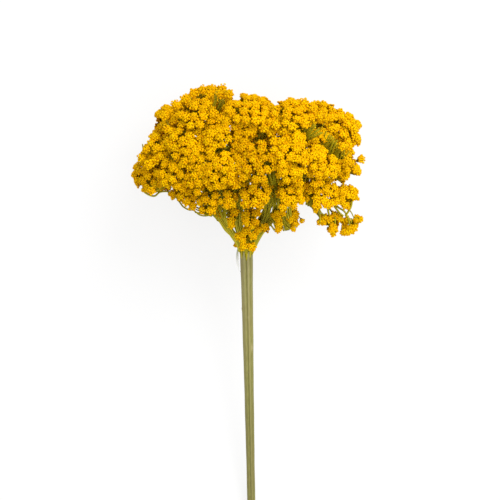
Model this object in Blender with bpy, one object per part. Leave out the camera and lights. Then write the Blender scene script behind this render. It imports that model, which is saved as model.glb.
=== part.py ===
"""A cut stem of golden yarrow, lying on its back on a table.

The grooved stem slopes from its cut end, on the table, up to the crown. Nine branches leave the
crown and fork into stalks, and each stalk carries one domed cluster of flower heads. The clusters
that face the table are pressed flat where they rest on it.

Units are metres and +Z is up. The stem runs along +Y towards the head, and the origin is on the
table, under the middle of the whole flower.
"""

import math
from dataclasses import dataclass

import bmesh
import bpy
from mathutils import Matrix, Vector

MM = 0.001
TOUCH_GAP = 0.3 * MM  # left between two pieces that touch

# The stem, from its cut end to the crown
STEM_SLOPE = math.radians(13.0)
STEM_CUT_Y = -95.5 * MM
STEM_CUT_X = 1.4 * MM
STEM_CUT_RADIUS = 1.75 * MM
CROWN_Y = 23.0 * MM
CROWN_X = -0.9 * MM
CROWN_RADIUS = 2.75 * MM
STEM_RIBS = 9
RIB_HEIGHT = 0.16  # as a share of the stem's radius
RIB_CREASE = 80.0  # degrees
STEM_SWELL = 1.6  # power of the thickening towards the crown
STEM_STATIONS = 9

# The branches and stalks, all round in section
BRANCH_RADIUS = 0.60 * MM
STALK_RADIUS = 0.42 * MM
BRANCH_RING = 2.0 * MM  # from the stem's axis to the feet of the outer branches
BRANCH_TAPER = 0.12  # as a share of the radius
BRANCH_TURN = 0.62  # where a branch starts to run straight to its end, as a share of the way
BRANCH_STATIONS = 8
STALK_STATIONS = 6
STALK_LEAN = 0.38  # how far a stalk keeps its end directions, as a share of its length

# The flower head's outer form, which the clusters' centres follow
HEAD_CENTRE = Vector((0.0, 61.0, 36.5)) * MM
HEAD_HALF = Vector((46.0, 33.0, 32.0)) * MM
PRESSED = 2.0  # power that flattens the half that lies on the table
HUB_RISE = 8.0 * MM  # the clusters face away from this point on the stem's line, above the crown
UNDER_FACE = 0.2  # how far the clusters on the table side turn towards the table
DOME_RISE = 0.60  # a dome's height over its centre, as a share of its mean half width
DOME_FALL = 0.42  # and its depth under its centre
LUMP_HEIGHT = 0.05  # as a share of the dome's radius
LUMP_PITCH = 6.0 * MM
FEWEST_LUMPS = 3
DOME_CREASE = 50.0  # degrees
DOME_MESHES = ((8.0, 16, 9), (5.5, 12, 7), (0.0, 10, 6))  # from half size in mm: segments, rings
REACH_OF_WALLS = 1.3  # domes further apart than this many times their sizes never meet
LINE_POINTS = 40  # points of a branch or stalk that push the domes aside
TABLE = 0.0
LEAST = 1e-6  # of a direction's share, to count as facing something

# The dry bract beside the crown
BRACT_LENGTH = 9.8 * MM
BRACT_WIDTH = 1.1 * MM
BRACT_THICKNESS = 0.35 * MM
BRACT_OFFSET = 3.6 * MM  # from the stem's axis to the bract's
BRACT_DROP = 3.2 * MM  # from the crown to the bract's middle
BRACT_LEAN = math.radians(5.0)  # its tip towards the stem

YELLOW = (0.90, 0.49, 0.01)
GREEN = (0.26, 0.27, 0.07)
STRAW = (0.42, 0.40, 0.24)


@dataclass(frozen=True)
class Branch:
    """A main branch: the place of its foot on the crown, and its end in the head's own directions."""

    name: str
    foot_turn: float | None  # degrees round the stem from +X towards the front; None is the middle
    side: float  # the end's place in mm: along X
    rise: float  # along the stem's line, above the crown
    front: float  # away from the table
    bend: float = 0.30  # how long the branch keeps the stem's direction


@dataclass(frozen=True)
class Cluster:
    """One cluster of flower heads, as seen from above: its dome's centre and half sizes in mm."""

    name: str
    branch: str
    fork: float  # how far along its branch the stalk leaves, from 0 to 1
    x: float
    y: float
    wide: float
    tall: float
    sink: float = 0.0  # how far the centre lies inside the head's outer form
    under: bool = False  # on the half that faces the table
    face: float = 0.45  # how far it turns from straight outwards towards the front


BRANCHES = (
    Branch("branch_middle", None, -1.0, 44.0, 2.0),
    Branch("branch_right", 0.0, 24.0, 33.0, 3.0, 0.2),
    Branch("branch_right_front", 45.0, 16.0, 34.0, 15.0),
    Branch("branch_front", 90.0, 1.0, 22.0, 15.0, 0.2),
    Branch("branch_left_front", 135.0, -13.0, 32.0, 14.0),
    Branch("branch_left", 180.0, -25.0, 32.0, 4.0, 0.08),
    Branch("branch_left_back", 225.0, -18.0, 36.0, -13.0),
    Branch("branch_back", 270.0, 0.0, 38.0, -18.0),
    Branch("branch_right_back", 315.0, 19.0, 36.0, -12.0),
)

CLUSTERS = (
    # top edge, left to right
    Cluster("cluster_left_corner", "branch_left", 0.92, -33.8, 78.3, 9.0, 9.0, 4.0),
    Cluster("cluster_upper_left", "branch_left_front", 0.97, -21.5, 78.0, 14.5, 12.0),
    Cluster("cluster_top_middle", "branch_middle", 0.96, -1.5, 79.5, 12.5, 12.0),
    Cluster("cluster_top_right", "branch_right_front", 0.97, 18.0, 77.0, 12.5, 12.5),
    Cluster("cluster_right_corner", "branch_right_front", 0.90, 33.5, 81.0, 10.0, 9.0, 1.0),
    Cluster("cluster_right_shoulder", "branch_right", 0.96, 39.5, 75.5, 11.0, 10.5),
    # the crest, between the front and the back
    Cluster("cluster_crest_left", "branch_left", 0.80, -27.0, 81.0, 10.5, 10.0, 14.0, face=0.1),
    Cluster("cluster_crest_middle", "branch_middle", 0.90, 0.0, 83.0, 12.0, 10.5, 23.0, face=0.0),
    Cluster("cluster_crest_right", "branch_right", 0.74, 20.0, 81.5, 11.5, 10.5, 18.0, face=0.1),
    # upper band, left to right
    Cluster("cluster_left_shoulder", "branch_left", 0.97, -37.8, 66.5, 10.5, 8.0),
    Cluster("cluster_left_band", "branch_left_front", 0.92, -26.5, 69.5, 11.5, 7.5),
    Cluster("cluster_left_ridge", "branch_left_front", 0.88, -13.0, 70.5, 9.0, 8.0),
    Cluster("cluster_left_cheek", "branch_left_front", 0.84, -23.5, 63.0, 12.0, 7.0),
    Cluster("cluster_middle_nook", "branch_middle", 0.85, -1.5, 72.5, 9.5, 8.5, 4.0),
    Cluster("cluster_middle_small", "branch_middle", 0.75, 0.0, 65.5, 10.0, 7.0, 1.5),
    Cluster("cluster_right_nook", "branch_right_front", 0.78, 28.5, 70.5, 9.0, 7.5, 7.0),
    Cluster("cluster_right_ridge", "branch_right_front", 0.84, 16.0, 61.5, 10.5, 12.0),
    Cluster("cluster_right_slope", "branch_right_front", 0.72, 30.0, 60.5, 11.5, 9.5),
    Cluster("cluster_right_rim", "branch_right", 0.90, 40.0, 60.0, 9.5, 8.0),
    # lower band, left to right
    Cluster("cluster_left_rim", "branch_left", 0.90, -41.2, 56.5, 11.5, 8.5, 3.0),
    Cluster("cluster_left_chin", "branch_left", 0.84, -30.0, 55.5, 11.0, 8.0),
    Cluster("cluster_left_foot", "branch_left", 0.72, -25.5, 46.5, 9.0, 7.5, 2.0),
    Cluster("cluster_left_skirt", "branch_left", 0.62, -16.5, 46.5, 8.0, 9.0, 3.0),
    Cluster("cluster_front_left", "branch_left_front", 0.76, -12.5, 57.5, 11.0, 10.0),
    Cluster("cluster_front_middle", "branch_front", 0.97, 2.5, 58.0, 9.5, 9.5),
    Cluster("cluster_front_column", "branch_front", 0.82, -8.0, 46.5, 5.5, 7.0, 3.0),
    Cluster("cluster_front_low", "branch_front", 0.90, 2.5, 47.5, 8.5, 7.5, 1.5),
    Cluster("cluster_front_right", "branch_right_front", 0.60, 16.5, 47.5, 8.0, 7.5, 1.0),
    Cluster("cluster_right_skirt", "branch_right", 0.80, 30.0, 47.5, 10.0, 8.5, 2.0, face=0.7),
    Cluster("cluster_right_edge", "branch_right", 0.86, 39.5, 47.5, 9.5, 7.0, 1.0, face=0.8),
    # lowest clusters, round the crown
    Cluster("cluster_low_left", "branch_front", 0.58, -6.8, 38.0, 4.3, 6.5, 8.0, face=0.7),
    Cluster("cluster_low_middle", "branch_front", 0.70, 2.5, 38.5, 7.0, 6.5, 7.0),
    Cluster("cluster_low_right", "branch_right_front", 0.38, 12.5, 37.5, 4.3, 7.0, 7.0, face=0.8),
    Cluster("cluster_low_far_right", "branch_right_front", 0.48, 18.3, 38.0, 4.5, 7.0, 9.0, face=0.8),
    Cluster("cluster_crown_left", "branch_front", 0.36, -0.2, 29.5, 6.0, 6.5, -0.5),
    Cluster("cluster_crown_right", "branch_front", 0.48, 5.5, 33.5, 5.5, 6.5, 7.0),
    Cluster("cluster_hanging_inner", "branch_right", 0.8, 35.0, 36.0, 8.0, 6.5, -4.0, face=1.2),
    Cluster("cluster_hanging_outer", "branch_right", 0.92, 42.8, 35.0, 7.5, 6.0, -2.0, face=1.2),
    # the side that faces the table
    Cluster("cluster_back_top_left", "branch_left_back", 0.97, -17.5, 88.0, 13.5, 9.0, 6.0, True),
    Cluster("cluster_back_top_right", "branch_back", 0.97, 8.0, 83.0, 13.0, 10.5, 2.0, True),
    Cluster("cluster_back_right_corner", "branch_right_back", 0.97, 28.0, 76.0, 11.5, 10.5, 2.0, True),
    Cluster("cluster_back_left_corner", "branch_left_back", 0.90, -33.0, 70.5, 11.0, 10.5, 1.0, True),
    Cluster("cluster_back_middle", "branch_back", 0.90, 0.0, 67.0, 12.5, 10.5, 0.0, True),
    Cluster("cluster_back_left", "branch_left_back", 0.82, -20.0, 61.0, 11.0, 11.0, 0.0, True),
    Cluster("cluster_back_right", "branch_right_back", 0.86, 20.0, 61.0, 11.0, 11.0, 0.0, True),
    Cluster("cluster_back_right_rim", "branch_right_back", 0.78, 36.5, 61.5, 11.0, 10.5, 5.0, True),
    Cluster("cluster_back_left_rim", "branch_left_back", 0.74, -37.5, 57.0, 11.0, 9.5, 6.0, True),
    Cluster("cluster_back_low_left", "branch_left_back", 0.62, -11.0, 49.5, 8.5, 8.0, 3.0, True),
    Cluster("cluster_back_low_right", "branch_right_back", 0.62, 12.0, 48.5, 8.5, 8.0, 3.0, True),
)

STEM_LINE = Vector((0.0, math.cos(STEM_SLOPE), math.sin(STEM_SLOPE)))
FRONT = Vector((0.0, -math.sin(STEM_SLOPE), math.cos(STEM_SLOPE)))
RIGHT = Vector((1.0, 0.0, 0.0))
STEM_CUT = Vector((STEM_CUT_X, STEM_CUT_Y, STEM_CUT_RADIUS * math.cos(STEM_SLOPE)))
CROWN = Vector(
    (CROWN_X, CROWN_Y, STEM_CUT.z + (CROWN_Y - STEM_CUT_Y) * math.tan(STEM_SLOPE))
)


def clear_scene():
    """Remove whatever the file holds, so that the model starts from nothing."""
    for obj in list(bpy.data.objects):
        bpy.data.objects.remove(obj)


def material(name, colour, roughness):
    """A plain dielectric finish."""
    made = bpy.data.materials.new(name)
    made.use_nodes = True
    shader = made.node_tree.nodes["Principled BSDF"]
    shader.inputs["Base Color"].default_value = (*colour, 1.0)
    shader.inputs["Roughness"].default_value = roughness
    shader.inputs["Metallic"].default_value = 0.0
    return made


def new_collection(name):
    """An empty collection in the scene."""
    made = bpy.data.collections.new(name)
    bpy.context.scene.collection.children.link(made)
    return made


def bezier(start, start_pull, end_pull, end, count):
    """Points along a cubic Bezier curve."""
    points = []
    for k in range(count):
        t = k / (count - 1)
        s = 1.0 - t
        points.append(
            start * s**3 + start_pull * 3 * s * s * t + end_pull * 3 * s * t * t + end * t**3
        )
    return points


def tube(name, points, radii, collection, resolution=1):
    """A closed round tube along the points, as a mesh object with its caps welded on."""
    curve = bpy.data.curves.new(name, "CURVE")
    curve.dimensions = "3D"
    curve.bevel_depth = 1.0
    curve.bevel_resolution = resolution
    curve.use_fill_caps = True
    spline = curve.splines.new("POLY")
    spline.points.add(len(points) - 1)
    for control, point, radius in zip(spline.points, points, radii):
        control.co = (*point, 1.0)
        control.radius = radius
    guide = bpy.data.objects.new(name + "_line", curve)
    collection.objects.link(guide)
    return mesh_from(guide, name, collection)


def mesh_from(guide, name, collection):
    """A mesh object of a curve object's shape, with loose caps welded. The curve is removed."""
    graph = bpy.context.evaluated_depsgraph_get()
    mesh = bpy.data.meshes.new_from_object(guide.evaluated_get(graph))
    made = bpy.data.objects.new(name, mesh)
    made.matrix_world = guide.matrix_world
    bpy.data.objects.remove(guide)
    work = bmesh.new()
    work.from_mesh(mesh)
    bmesh.ops.remove_doubles(work, verts=work.verts, dist=1e-6)
    bmesh.ops.recalc_face_normals(work, faces=work.faces)
    work.to_mesh(mesh)
    work.free()
    mesh.name = name
    collection.objects.link(made)
    return made


def smooth(obj, angle=DOME_CREASE):
    """Shade smooth, with edges sharper than the angle kept."""
    obj.data.shade_smooth()
    obj.data.set_sharp_from_angle(angle=math.radians(angle))


def rib_profile(collection):
    """The stem's fluted outline at unit radius, as a flat closed curve for a bevel."""
    curve = bpy.data.curves.new("stem_outline", "CURVE")
    curve.dimensions = "2D"
    spline = curve.splines.new("POLY")
    count = 2 * STEM_RIBS
    spline.points.add(count - 1)
    for k, control in enumerate(spline.points):
        radius = 1.0 if k % 2 == 0 else 1.0 - RIB_HEIGHT
        turn = 2.0 * math.pi * k / count
        control.co = (radius * math.cos(turn), radius * math.sin(turn), 0.0, 1.0)
    spline.use_cyclic_u = True
    outline = bpy.data.objects.new("stem_outline", curve)
    collection.objects.link(outline)
    return outline


def build_stem(parts, helpers, finish):
    """The grooved stem, thickening from the cut end to the crown."""
    curve = bpy.data.curves.new("stem", "CURVE")
    curve.dimensions = "3D"
    outline = rib_profile(helpers)
    curve.bevel_mode = "OBJECT"
    curve.bevel_object = outline
    curve.use_fill_caps = True
    spline = curve.splines.new("POLY")
    spline.points.add(STEM_STATIONS - 1)
    for k, control in enumerate(spline.points):
        t = k / (STEM_STATIONS - 1)
        control.co = (*STEM_CUT.lerp(CROWN, t), 1.0)
        swell = t**STEM_SWELL
        control.radius = STEM_CUT_RADIUS + (CROWN_RADIUS - STEM_CUT_RADIUS) * swell
    guide = bpy.data.objects.new("stem_line", curve)
    helpers.objects.link(guide)
    stem = mesh_from(guide, "stem", parts)
    bpy.data.objects.remove(outline)
    for vertex in stem.data.vertices:
        vertex.co.z = max(vertex.co.z, TABLE)
    stem.data.materials.append(finish)
    smooth(stem, RIB_CREASE)


def branch_line(branch):
    """The four control points of a branch's curve."""
    foot = CROWN + STEM_LINE * TOUCH_GAP
    if branch.foot_turn is not None:
        turn = math.radians(branch.foot_turn)
        foot += (RIGHT * math.cos(turn) + FRONT * math.sin(turn)) * BRANCH_RING
    end = CROWN + RIGHT * branch.side * MM + STEM_LINE * branch.rise * MM + FRONT * branch.front * MM
    reach = (end - foot).length
    return foot, foot + STEM_LINE * reach * branch.bend, foot.lerp(end, BRANCH_TURN), end


def on_bezier(control, t):
    """A point of the curve, and its direction there."""
    a, b, c, d = control
    s = 1.0 - t
    point = a * s**3 + b * 3 * s * s * t + c * 3 * s * t * t + d * t**3
    slope = (b - a) * 3 * s * s + (c - b) * 6 * s * t + (d - c) * 3 * t * t
    return point, slope.normalized()


def cluster_centre(cluster):
    """The middle of a dome: on the head's outer form, less its sink."""
    x, y = cluster.x * MM, cluster.y * MM
    across = ((x - HEAD_CENTRE.x) / HEAD_HALF.x) ** 2
    along = ((y - HEAD_CENTRE.y) / HEAD_HALF.y) ** 2
    spread = (across + along) ** (PRESSED if cluster.under else 1.0)
    lift = HEAD_HALF.z * math.sqrt(max(0.0, 1.0 - spread)) - cluster.sink * MM
    return Vector((x, y, HEAD_CENTRE.z - lift if cluster.under else HEAD_CENTRE.z + lift))


def cluster_frame(cluster):
    """The dome's centre, and its directions: across, along and out, away from the hub."""
    centre = cluster_centre(cluster)
    out = (centre - CROWN - STEM_LINE * HUB_RISE).normalized()
    out = (out + FRONT * (-UNDER_FACE if cluster.under else cluster.face)).normalized()
    across = STEM_LINE.cross(out)
    if across.length < 1e-3:
        across = RIGHT.copy()
    across.normalize()
    return centre, across, out.cross(across), out


def dome_radius(cluster, direction):
    """How far the plain dome reaches from its centre in a direction of its own frame."""
    mean = (cluster.wide + cluster.tall) / 2.0
    height = mean * (DOME_RISE if direction.z > 0.0 else DOME_FALL)
    inverse = (
        (direction.x / cluster.wide) ** 2
        + (direction.y / cluster.tall) ** 2
        + (direction.z / height) ** 2
    )
    return MM / math.sqrt(inverse)


def walls_of(cluster, frames, lines):
    """The planes that keep a dome off its neighbours: (direction to the neighbour, distance)."""
    centre, across, along, out = frames[cluster.name]
    walls = []
    for other in CLUSTERS:
        if other is cluster:
            continue
        there, o_across, o_along, o_out = frames[other.name]
        apart = there - centre
        gap = apart.length
        sizes = max(cluster.wide, cluster.tall) + max(other.wide, other.tall)
        if gap > sizes * REACH_OF_WALLS * MM:
            continue
        way = apart / gap
        mine = dome_radius(cluster, Vector((way.dot(across), way.dot(along), way.dot(out))))
        back = -way
        theirs = dome_radius(other, Vector((back.dot(o_across), back.dot(o_along), back.dot(o_out))))
        distance = gap * mine / (mine + theirs)
        if distance < mine * (1.0 + LUMP_HEIGHT) + TOUCH_GAP:
            walls.append((way, distance - TOUCH_GAP / 2.0))
    for name, points, radius in lines:
        if name == cluster.name:
            continue
        for point in points:
            apart = point - centre
            gap = apart.length - radius - TOUCH_GAP
            way = apart.normalized()
            mine = dome_radius(cluster, Vector((way.dot(across), way.dot(along), way.dot(out))))
            if gap < mine * (1.0 + LUMP_HEIGHT):
                walls.append((way, gap))
    return walls


def build_cluster(cluster, frames, lines, parts, finish):
    """A lumpy dome, flattened against its neighbours, the stalks that pass it and the table."""
    centre, across, along, out = frames[cluster.name]
    size = max(cluster.wide, cluster.tall)
    segments, rings = next(mesh[1:] for mesh in DOME_MESHES if size > mesh[0])
    work = bmesh.new()
    bmesh.ops.create_uvsphere(work, u_segments=segments, v_segments=rings, radius=1.0)
    walls = walls_of(cluster, frames, lines)
    lumps = max(FEWEST_LUMPS, round(math.pi * size * MM / LUMP_PITCH))
    for vertex in work.verts:
        own = vertex.co.normalized()
        turn = math.atan2(own.y, own.x)
        lean = math.acos(max(-1.0, min(1.0, own.z)))
        lump = math.cos(lumps * turn) * math.sin(lean) * math.sin(lumps * lean)
        reach = dome_radius(cluster, own) * (1.0 + LUMP_HEIGHT * lump)
        way = across * own.x + along * own.y + out * own.z
        for towards, distance in walls:
            facing = way.dot(towards)
            if facing > LEAST:
                reach = min(reach, distance / facing)
        if way.z < -LEAST:
            reach = min(reach, (centre.z - TABLE) / -way.z)
        vertex.co = centre + way * reach
    mesh = bpy.data.meshes.new(cluster.name)
    work.to_mesh(mesh)
    work.free()
    mesh.materials.append(finish)
    made = bpy.data.objects.new(cluster.name, mesh)
    parts.objects.link(made)
    smooth(made)


def stalk_control(control, cluster, frames):
    """The control points of a stalk's curve, from inside its branch to just under its dome."""
    start, way = on_bezier(control, cluster.fork)
    centre, _, _, out = frames[cluster.name]
    fall = dome_radius(cluster, Vector((0.0, 0.0, -1.0)))
    end = centre - out * (fall + TOUCH_GAP)
    lean = (end - start).length * STALK_LEAN
    return start, start + way * lean, end - out * lean, end


def all_lines(frames):
    """Every branch and stalk as (its name, points close together along it, its radius)."""
    lines = []
    controls = {branch.name: branch_line(branch) for branch in BRANCHES}
    for name, control in controls.items():
        lines.append((name, bezier(*control, LINE_POINTS), BRANCH_RADIUS))
    for cluster in CLUSTERS:
        control = stalk_control(controls[cluster.branch], cluster, frames)
        lines.append((cluster.name, bezier(*control, LINE_POINTS), STALK_RADIUS))
    return lines


def build_branch(branch, frames, parts, helpers, finish):
    """A main branch and its stalks, joined into one solid."""
    control = branch_line(branch)
    points = bezier(*control, BRANCH_STATIONS)
    shares = [k / (BRANCH_STATIONS - 1) for k in range(BRANCH_STATIONS)]
    taper = [BRANCH_RADIUS * (1.0 - BRANCH_TAPER * share) for share in shares]
    made = tube(branch.name, points, taper, parts)
    stalks = bpy.data.collections.new(branch.name + "_stalks")
    helpers.children.link(stalks)
    for cluster in CLUSTERS:
        if cluster.branch == branch.name:
            line = bezier(*stalk_control(control, cluster, frames), STALK_STATIONS)
            stalk = tube(cluster.name + "_stalk", line, [STALK_RADIUS] * STALK_STATIONS, stalks)
            stalk.parent = made
            stalk.hide_render = True
            stalk.display_type = "WIRE"
    join = made.modifiers.new("join_stalks", "BOOLEAN")
    join.operation = "UNION"
    join.operand_type = "COLLECTION"
    join.collection = stalks
    join.solver = "EXACT"
    made.data.materials.append(finish)
    smooth(made)


def build_bract(parts, finish):
    """The thin dry bract that hangs beside the stem, just under the crown."""
    bpy.ops.mesh.primitive_uv_sphere_add(segments=12, ring_count=8, radius=1.0)
    made = bpy.context.object
    made.name = made.data.name = "bract"
    shape = Matrix.Diagonal((BRACT_WIDTH / 2, BRACT_LENGTH / 2, BRACT_THICKNESS / 2, 1.0))
    tilt = Matrix.Rotation(STEM_SLOPE, 4, "X")
    lean = Matrix.Rotation(BRACT_LEAN, 4, "Z")
    place = Matrix.Translation(CROWN - RIGHT * BRACT_OFFSET - STEM_LINE * BRACT_DROP)
    made.data.transform(place @ lean @ tilt @ shape)
    for collection in list(made.users_collection):
        collection.objects.unlink(made)
    parts.objects.link(made)
    made.data.materials.append(finish)
    smooth(made)


def centre_over_origin(parts):
    """Slide every piece over the table until the middle of the whole flower is at the origin."""
    bpy.context.view_layer.update()
    graph = bpy.context.evaluated_depsgraph_get()
    points = []
    for obj in parts.objects:
        shaped = obj.evaluated_get(graph)
        points += [shaped.matrix_world @ vertex.co for vertex in shaped.data.vertices]
    for axis in (0, 1):
        places = [point[axis] for point in points]
        middle = (min(places) + max(places)) / 2.0
        for obj in parts.objects:
            obj.location[axis] -= middle


def main():
    """Build the whole flower."""
    clear_scene()
    parts = new_collection("golden_yarrow")
    helpers = new_collection("helpers")
    yellow = material("yellow_flower_heads", YELLOW, 0.75)
    green = material("green_stalk", GREEN, 0.6)
    straw = material("dry_bract", STRAW, 0.7)
    build_stem(parts, helpers, green)
    frames = {cluster.name: cluster_frame(cluster) for cluster in CLUSTERS}
    for branch in BRANCHES:
        build_branch(branch, frames, parts, helpers, green)
    lines = all_lines(frames)
    for cluster in CLUSTERS:
        build_cluster(cluster, frames, lines, parts, yellow)
    build_bract(parts, straw)
    centre_over_origin(parts)


main()
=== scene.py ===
"""The looks of a cut stem of golden yarrow that lies on its back on a pale table.

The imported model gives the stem, the branches and one plain dome for each cluster of flower heads.
This script dresses them: each dome becomes a corymb of small flower heads on thin pedicels, each
head an involucre of overlapping bracts under a cushion of five-lobed florets, and the branches and
the stem get their ribs.

Lengths are written in millimetres and turned into metres with MM. +Z is up and +Y runs along the
stem towards the flowers.
"""

import logging
import math
from dataclasses import dataclass, field
from enum import Enum

import bpy
import numpy as np
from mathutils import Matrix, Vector
from mathutils.bvhtree import BVHTree


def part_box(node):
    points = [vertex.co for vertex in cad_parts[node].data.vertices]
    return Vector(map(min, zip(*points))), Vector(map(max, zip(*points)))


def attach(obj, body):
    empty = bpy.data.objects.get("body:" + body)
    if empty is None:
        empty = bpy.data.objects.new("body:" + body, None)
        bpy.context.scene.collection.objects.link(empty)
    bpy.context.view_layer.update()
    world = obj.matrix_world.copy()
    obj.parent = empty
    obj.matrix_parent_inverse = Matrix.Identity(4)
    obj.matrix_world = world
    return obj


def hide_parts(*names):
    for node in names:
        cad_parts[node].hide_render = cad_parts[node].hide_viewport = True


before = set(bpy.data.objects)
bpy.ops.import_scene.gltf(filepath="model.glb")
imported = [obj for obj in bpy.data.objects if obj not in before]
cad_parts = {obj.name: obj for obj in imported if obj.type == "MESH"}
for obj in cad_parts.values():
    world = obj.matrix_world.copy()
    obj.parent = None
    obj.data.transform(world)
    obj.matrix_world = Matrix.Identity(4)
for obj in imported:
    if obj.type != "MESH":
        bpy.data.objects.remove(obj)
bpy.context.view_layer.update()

LOG = logging.getLogger("yarrow")
MM = 0.001
GOLDEN_TURN = math.pi * (3.0 - math.sqrt(5.0))
BODY = "root"

Array = np.ndarray


# ---------------------------------------------------------------- directions and shared helpers


# the stem climbs from its cut end, so the flower's own directions are tilted with it
STEM_SLOPE = math.radians(13.0)
STEM_LINE = np.array([0.0, math.cos(STEM_SLOPE), math.sin(STEM_SLOPE)])
FRONT = np.array([0.0, -math.sin(STEM_SLOPE), math.cos(STEM_SLOPE)])
RIGHT = np.array([1.0, 0.0, 0.0])
TABLE_CLEARANCE = 0.12 * MM


def unit(vector: Array) -> Array:
    """The vector at length one."""
    return vector / np.linalg.norm(vector)


def bezier(control: list[Array], count: int) -> Array:
    """Points along a cubic Bezier curve.

    Args:
        control: the curve's four control points.
        count: how many points to read along it.

    Returns:
        The points, one a row.
    """
    t = np.linspace(0.0, 1.0, count)[:, None]
    s = 1.0 - t
    a, b, c, d = control
    return a * s**3 + b * 3.0 * s * s * t + c * 3.0 * s * t * t + d * t**3


def smooth_line(knots: Array, count: int) -> Array:
    """A smooth line through given points (Catmull-Rom).

    Args:
        knots: the points it passes through, one a row.
        count: how many points to read along it.

    Returns:
        The points, one a row.
    """
    padded = np.vstack([2.0 * knots[0] - knots[1], knots, 2.0 * knots[-1] - knots[-2]])
    places = np.linspace(0.0, len(knots) - 1.0, count)
    line = []
    for place in places:
        k = min(int(place), len(knots) - 2)
        t = place - k
        p0, p1, p2, p3 = padded[k : k + 4]
        line.append(
            0.5 * (2 * p1 + (p2 - p0) * t + (2 * p0 - 5 * p1 + 4 * p2 - p3) * t * t
                   + (3 * p1 - p0 - 3 * p2 + p3) * t**3)
        )
    return np.array(line)


def frame_about(normal: Array, spin: float) -> Array:
    """A rotation whose third column is the normal, turned about it.

    Args:
        normal: the direction that local +Z takes.
        spin: the turn about it, in radians.

    Returns:
        A 3 by 3 rotation matrix.
    """
    normal = unit(normal)
    side = np.array([1.0, 0.0, 0.0]) if abs(normal[0]) < 0.8 else np.array([0.0, 1.0, 0.0])
    across = unit(np.cross(side, normal))
    along = np.cross(normal, across)
    return np.stack(
        [across * math.cos(spin) + along * math.sin(spin),
         along * math.cos(spin) - across * math.sin(spin),
         normal], axis=1
    )


# ---------------------------------------------------------------- finishes


class Skin(Enum):
    """The finishes, in the order of a piece's material slots."""

    FLORET = 0
    CUP = 1
    STALK = 2
    ONLY = 0  # the one finish of a piece that has no other


class Wire:
    """A socket that gives a number, with the arithmetic that adds Math nodes."""

    def __init__(self, network: "Network", socket: bpy.types.NodeSocket) -> None:
        """Wrap a socket of a network's node tree."""
        self.network = network
        self.socket = socket

    def _maths(self, operation: str, *values: "Wire | float") -> "Wire":
        """A Math node on these values."""
        settings = {"operation": operation}
        return self.network.wire("ShaderNodeMath", settings, dict(enumerate(values)))

    def __add__(self, other: "Wire | float") -> "Wire":
        """self + other."""
        return self._maths("ADD", self, other)

    __radd__ = __add__

    def __mul__(self, other: "Wire | float") -> "Wire":
        """self * other."""
        return self._maths("MULTIPLY", self, other)

    __rmul__ = __mul__

    def __sub__(self, other: "Wire | float") -> "Wire":
        """self - other."""
        return self._maths("SUBTRACT", self, other)

    def __rsub__(self, other: "Wire | float") -> "Wire":
        """other - self."""
        return self._maths("SUBTRACT", other, self)

    def __pow__(self, power: float) -> "Wire":
        """self to a power."""
        return self._maths("POWER", self, power)

    def clamped(self) -> "Wire":
        """self, kept from 0 to 1."""
        return self.network.wire("ShaderNodeClamp", {}, {"Value": self})

    def or_more(self, other: "Wire") -> "Wire":
        """The larger of self and other."""
        return self._maths("MAXIMUM", self, other)


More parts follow.
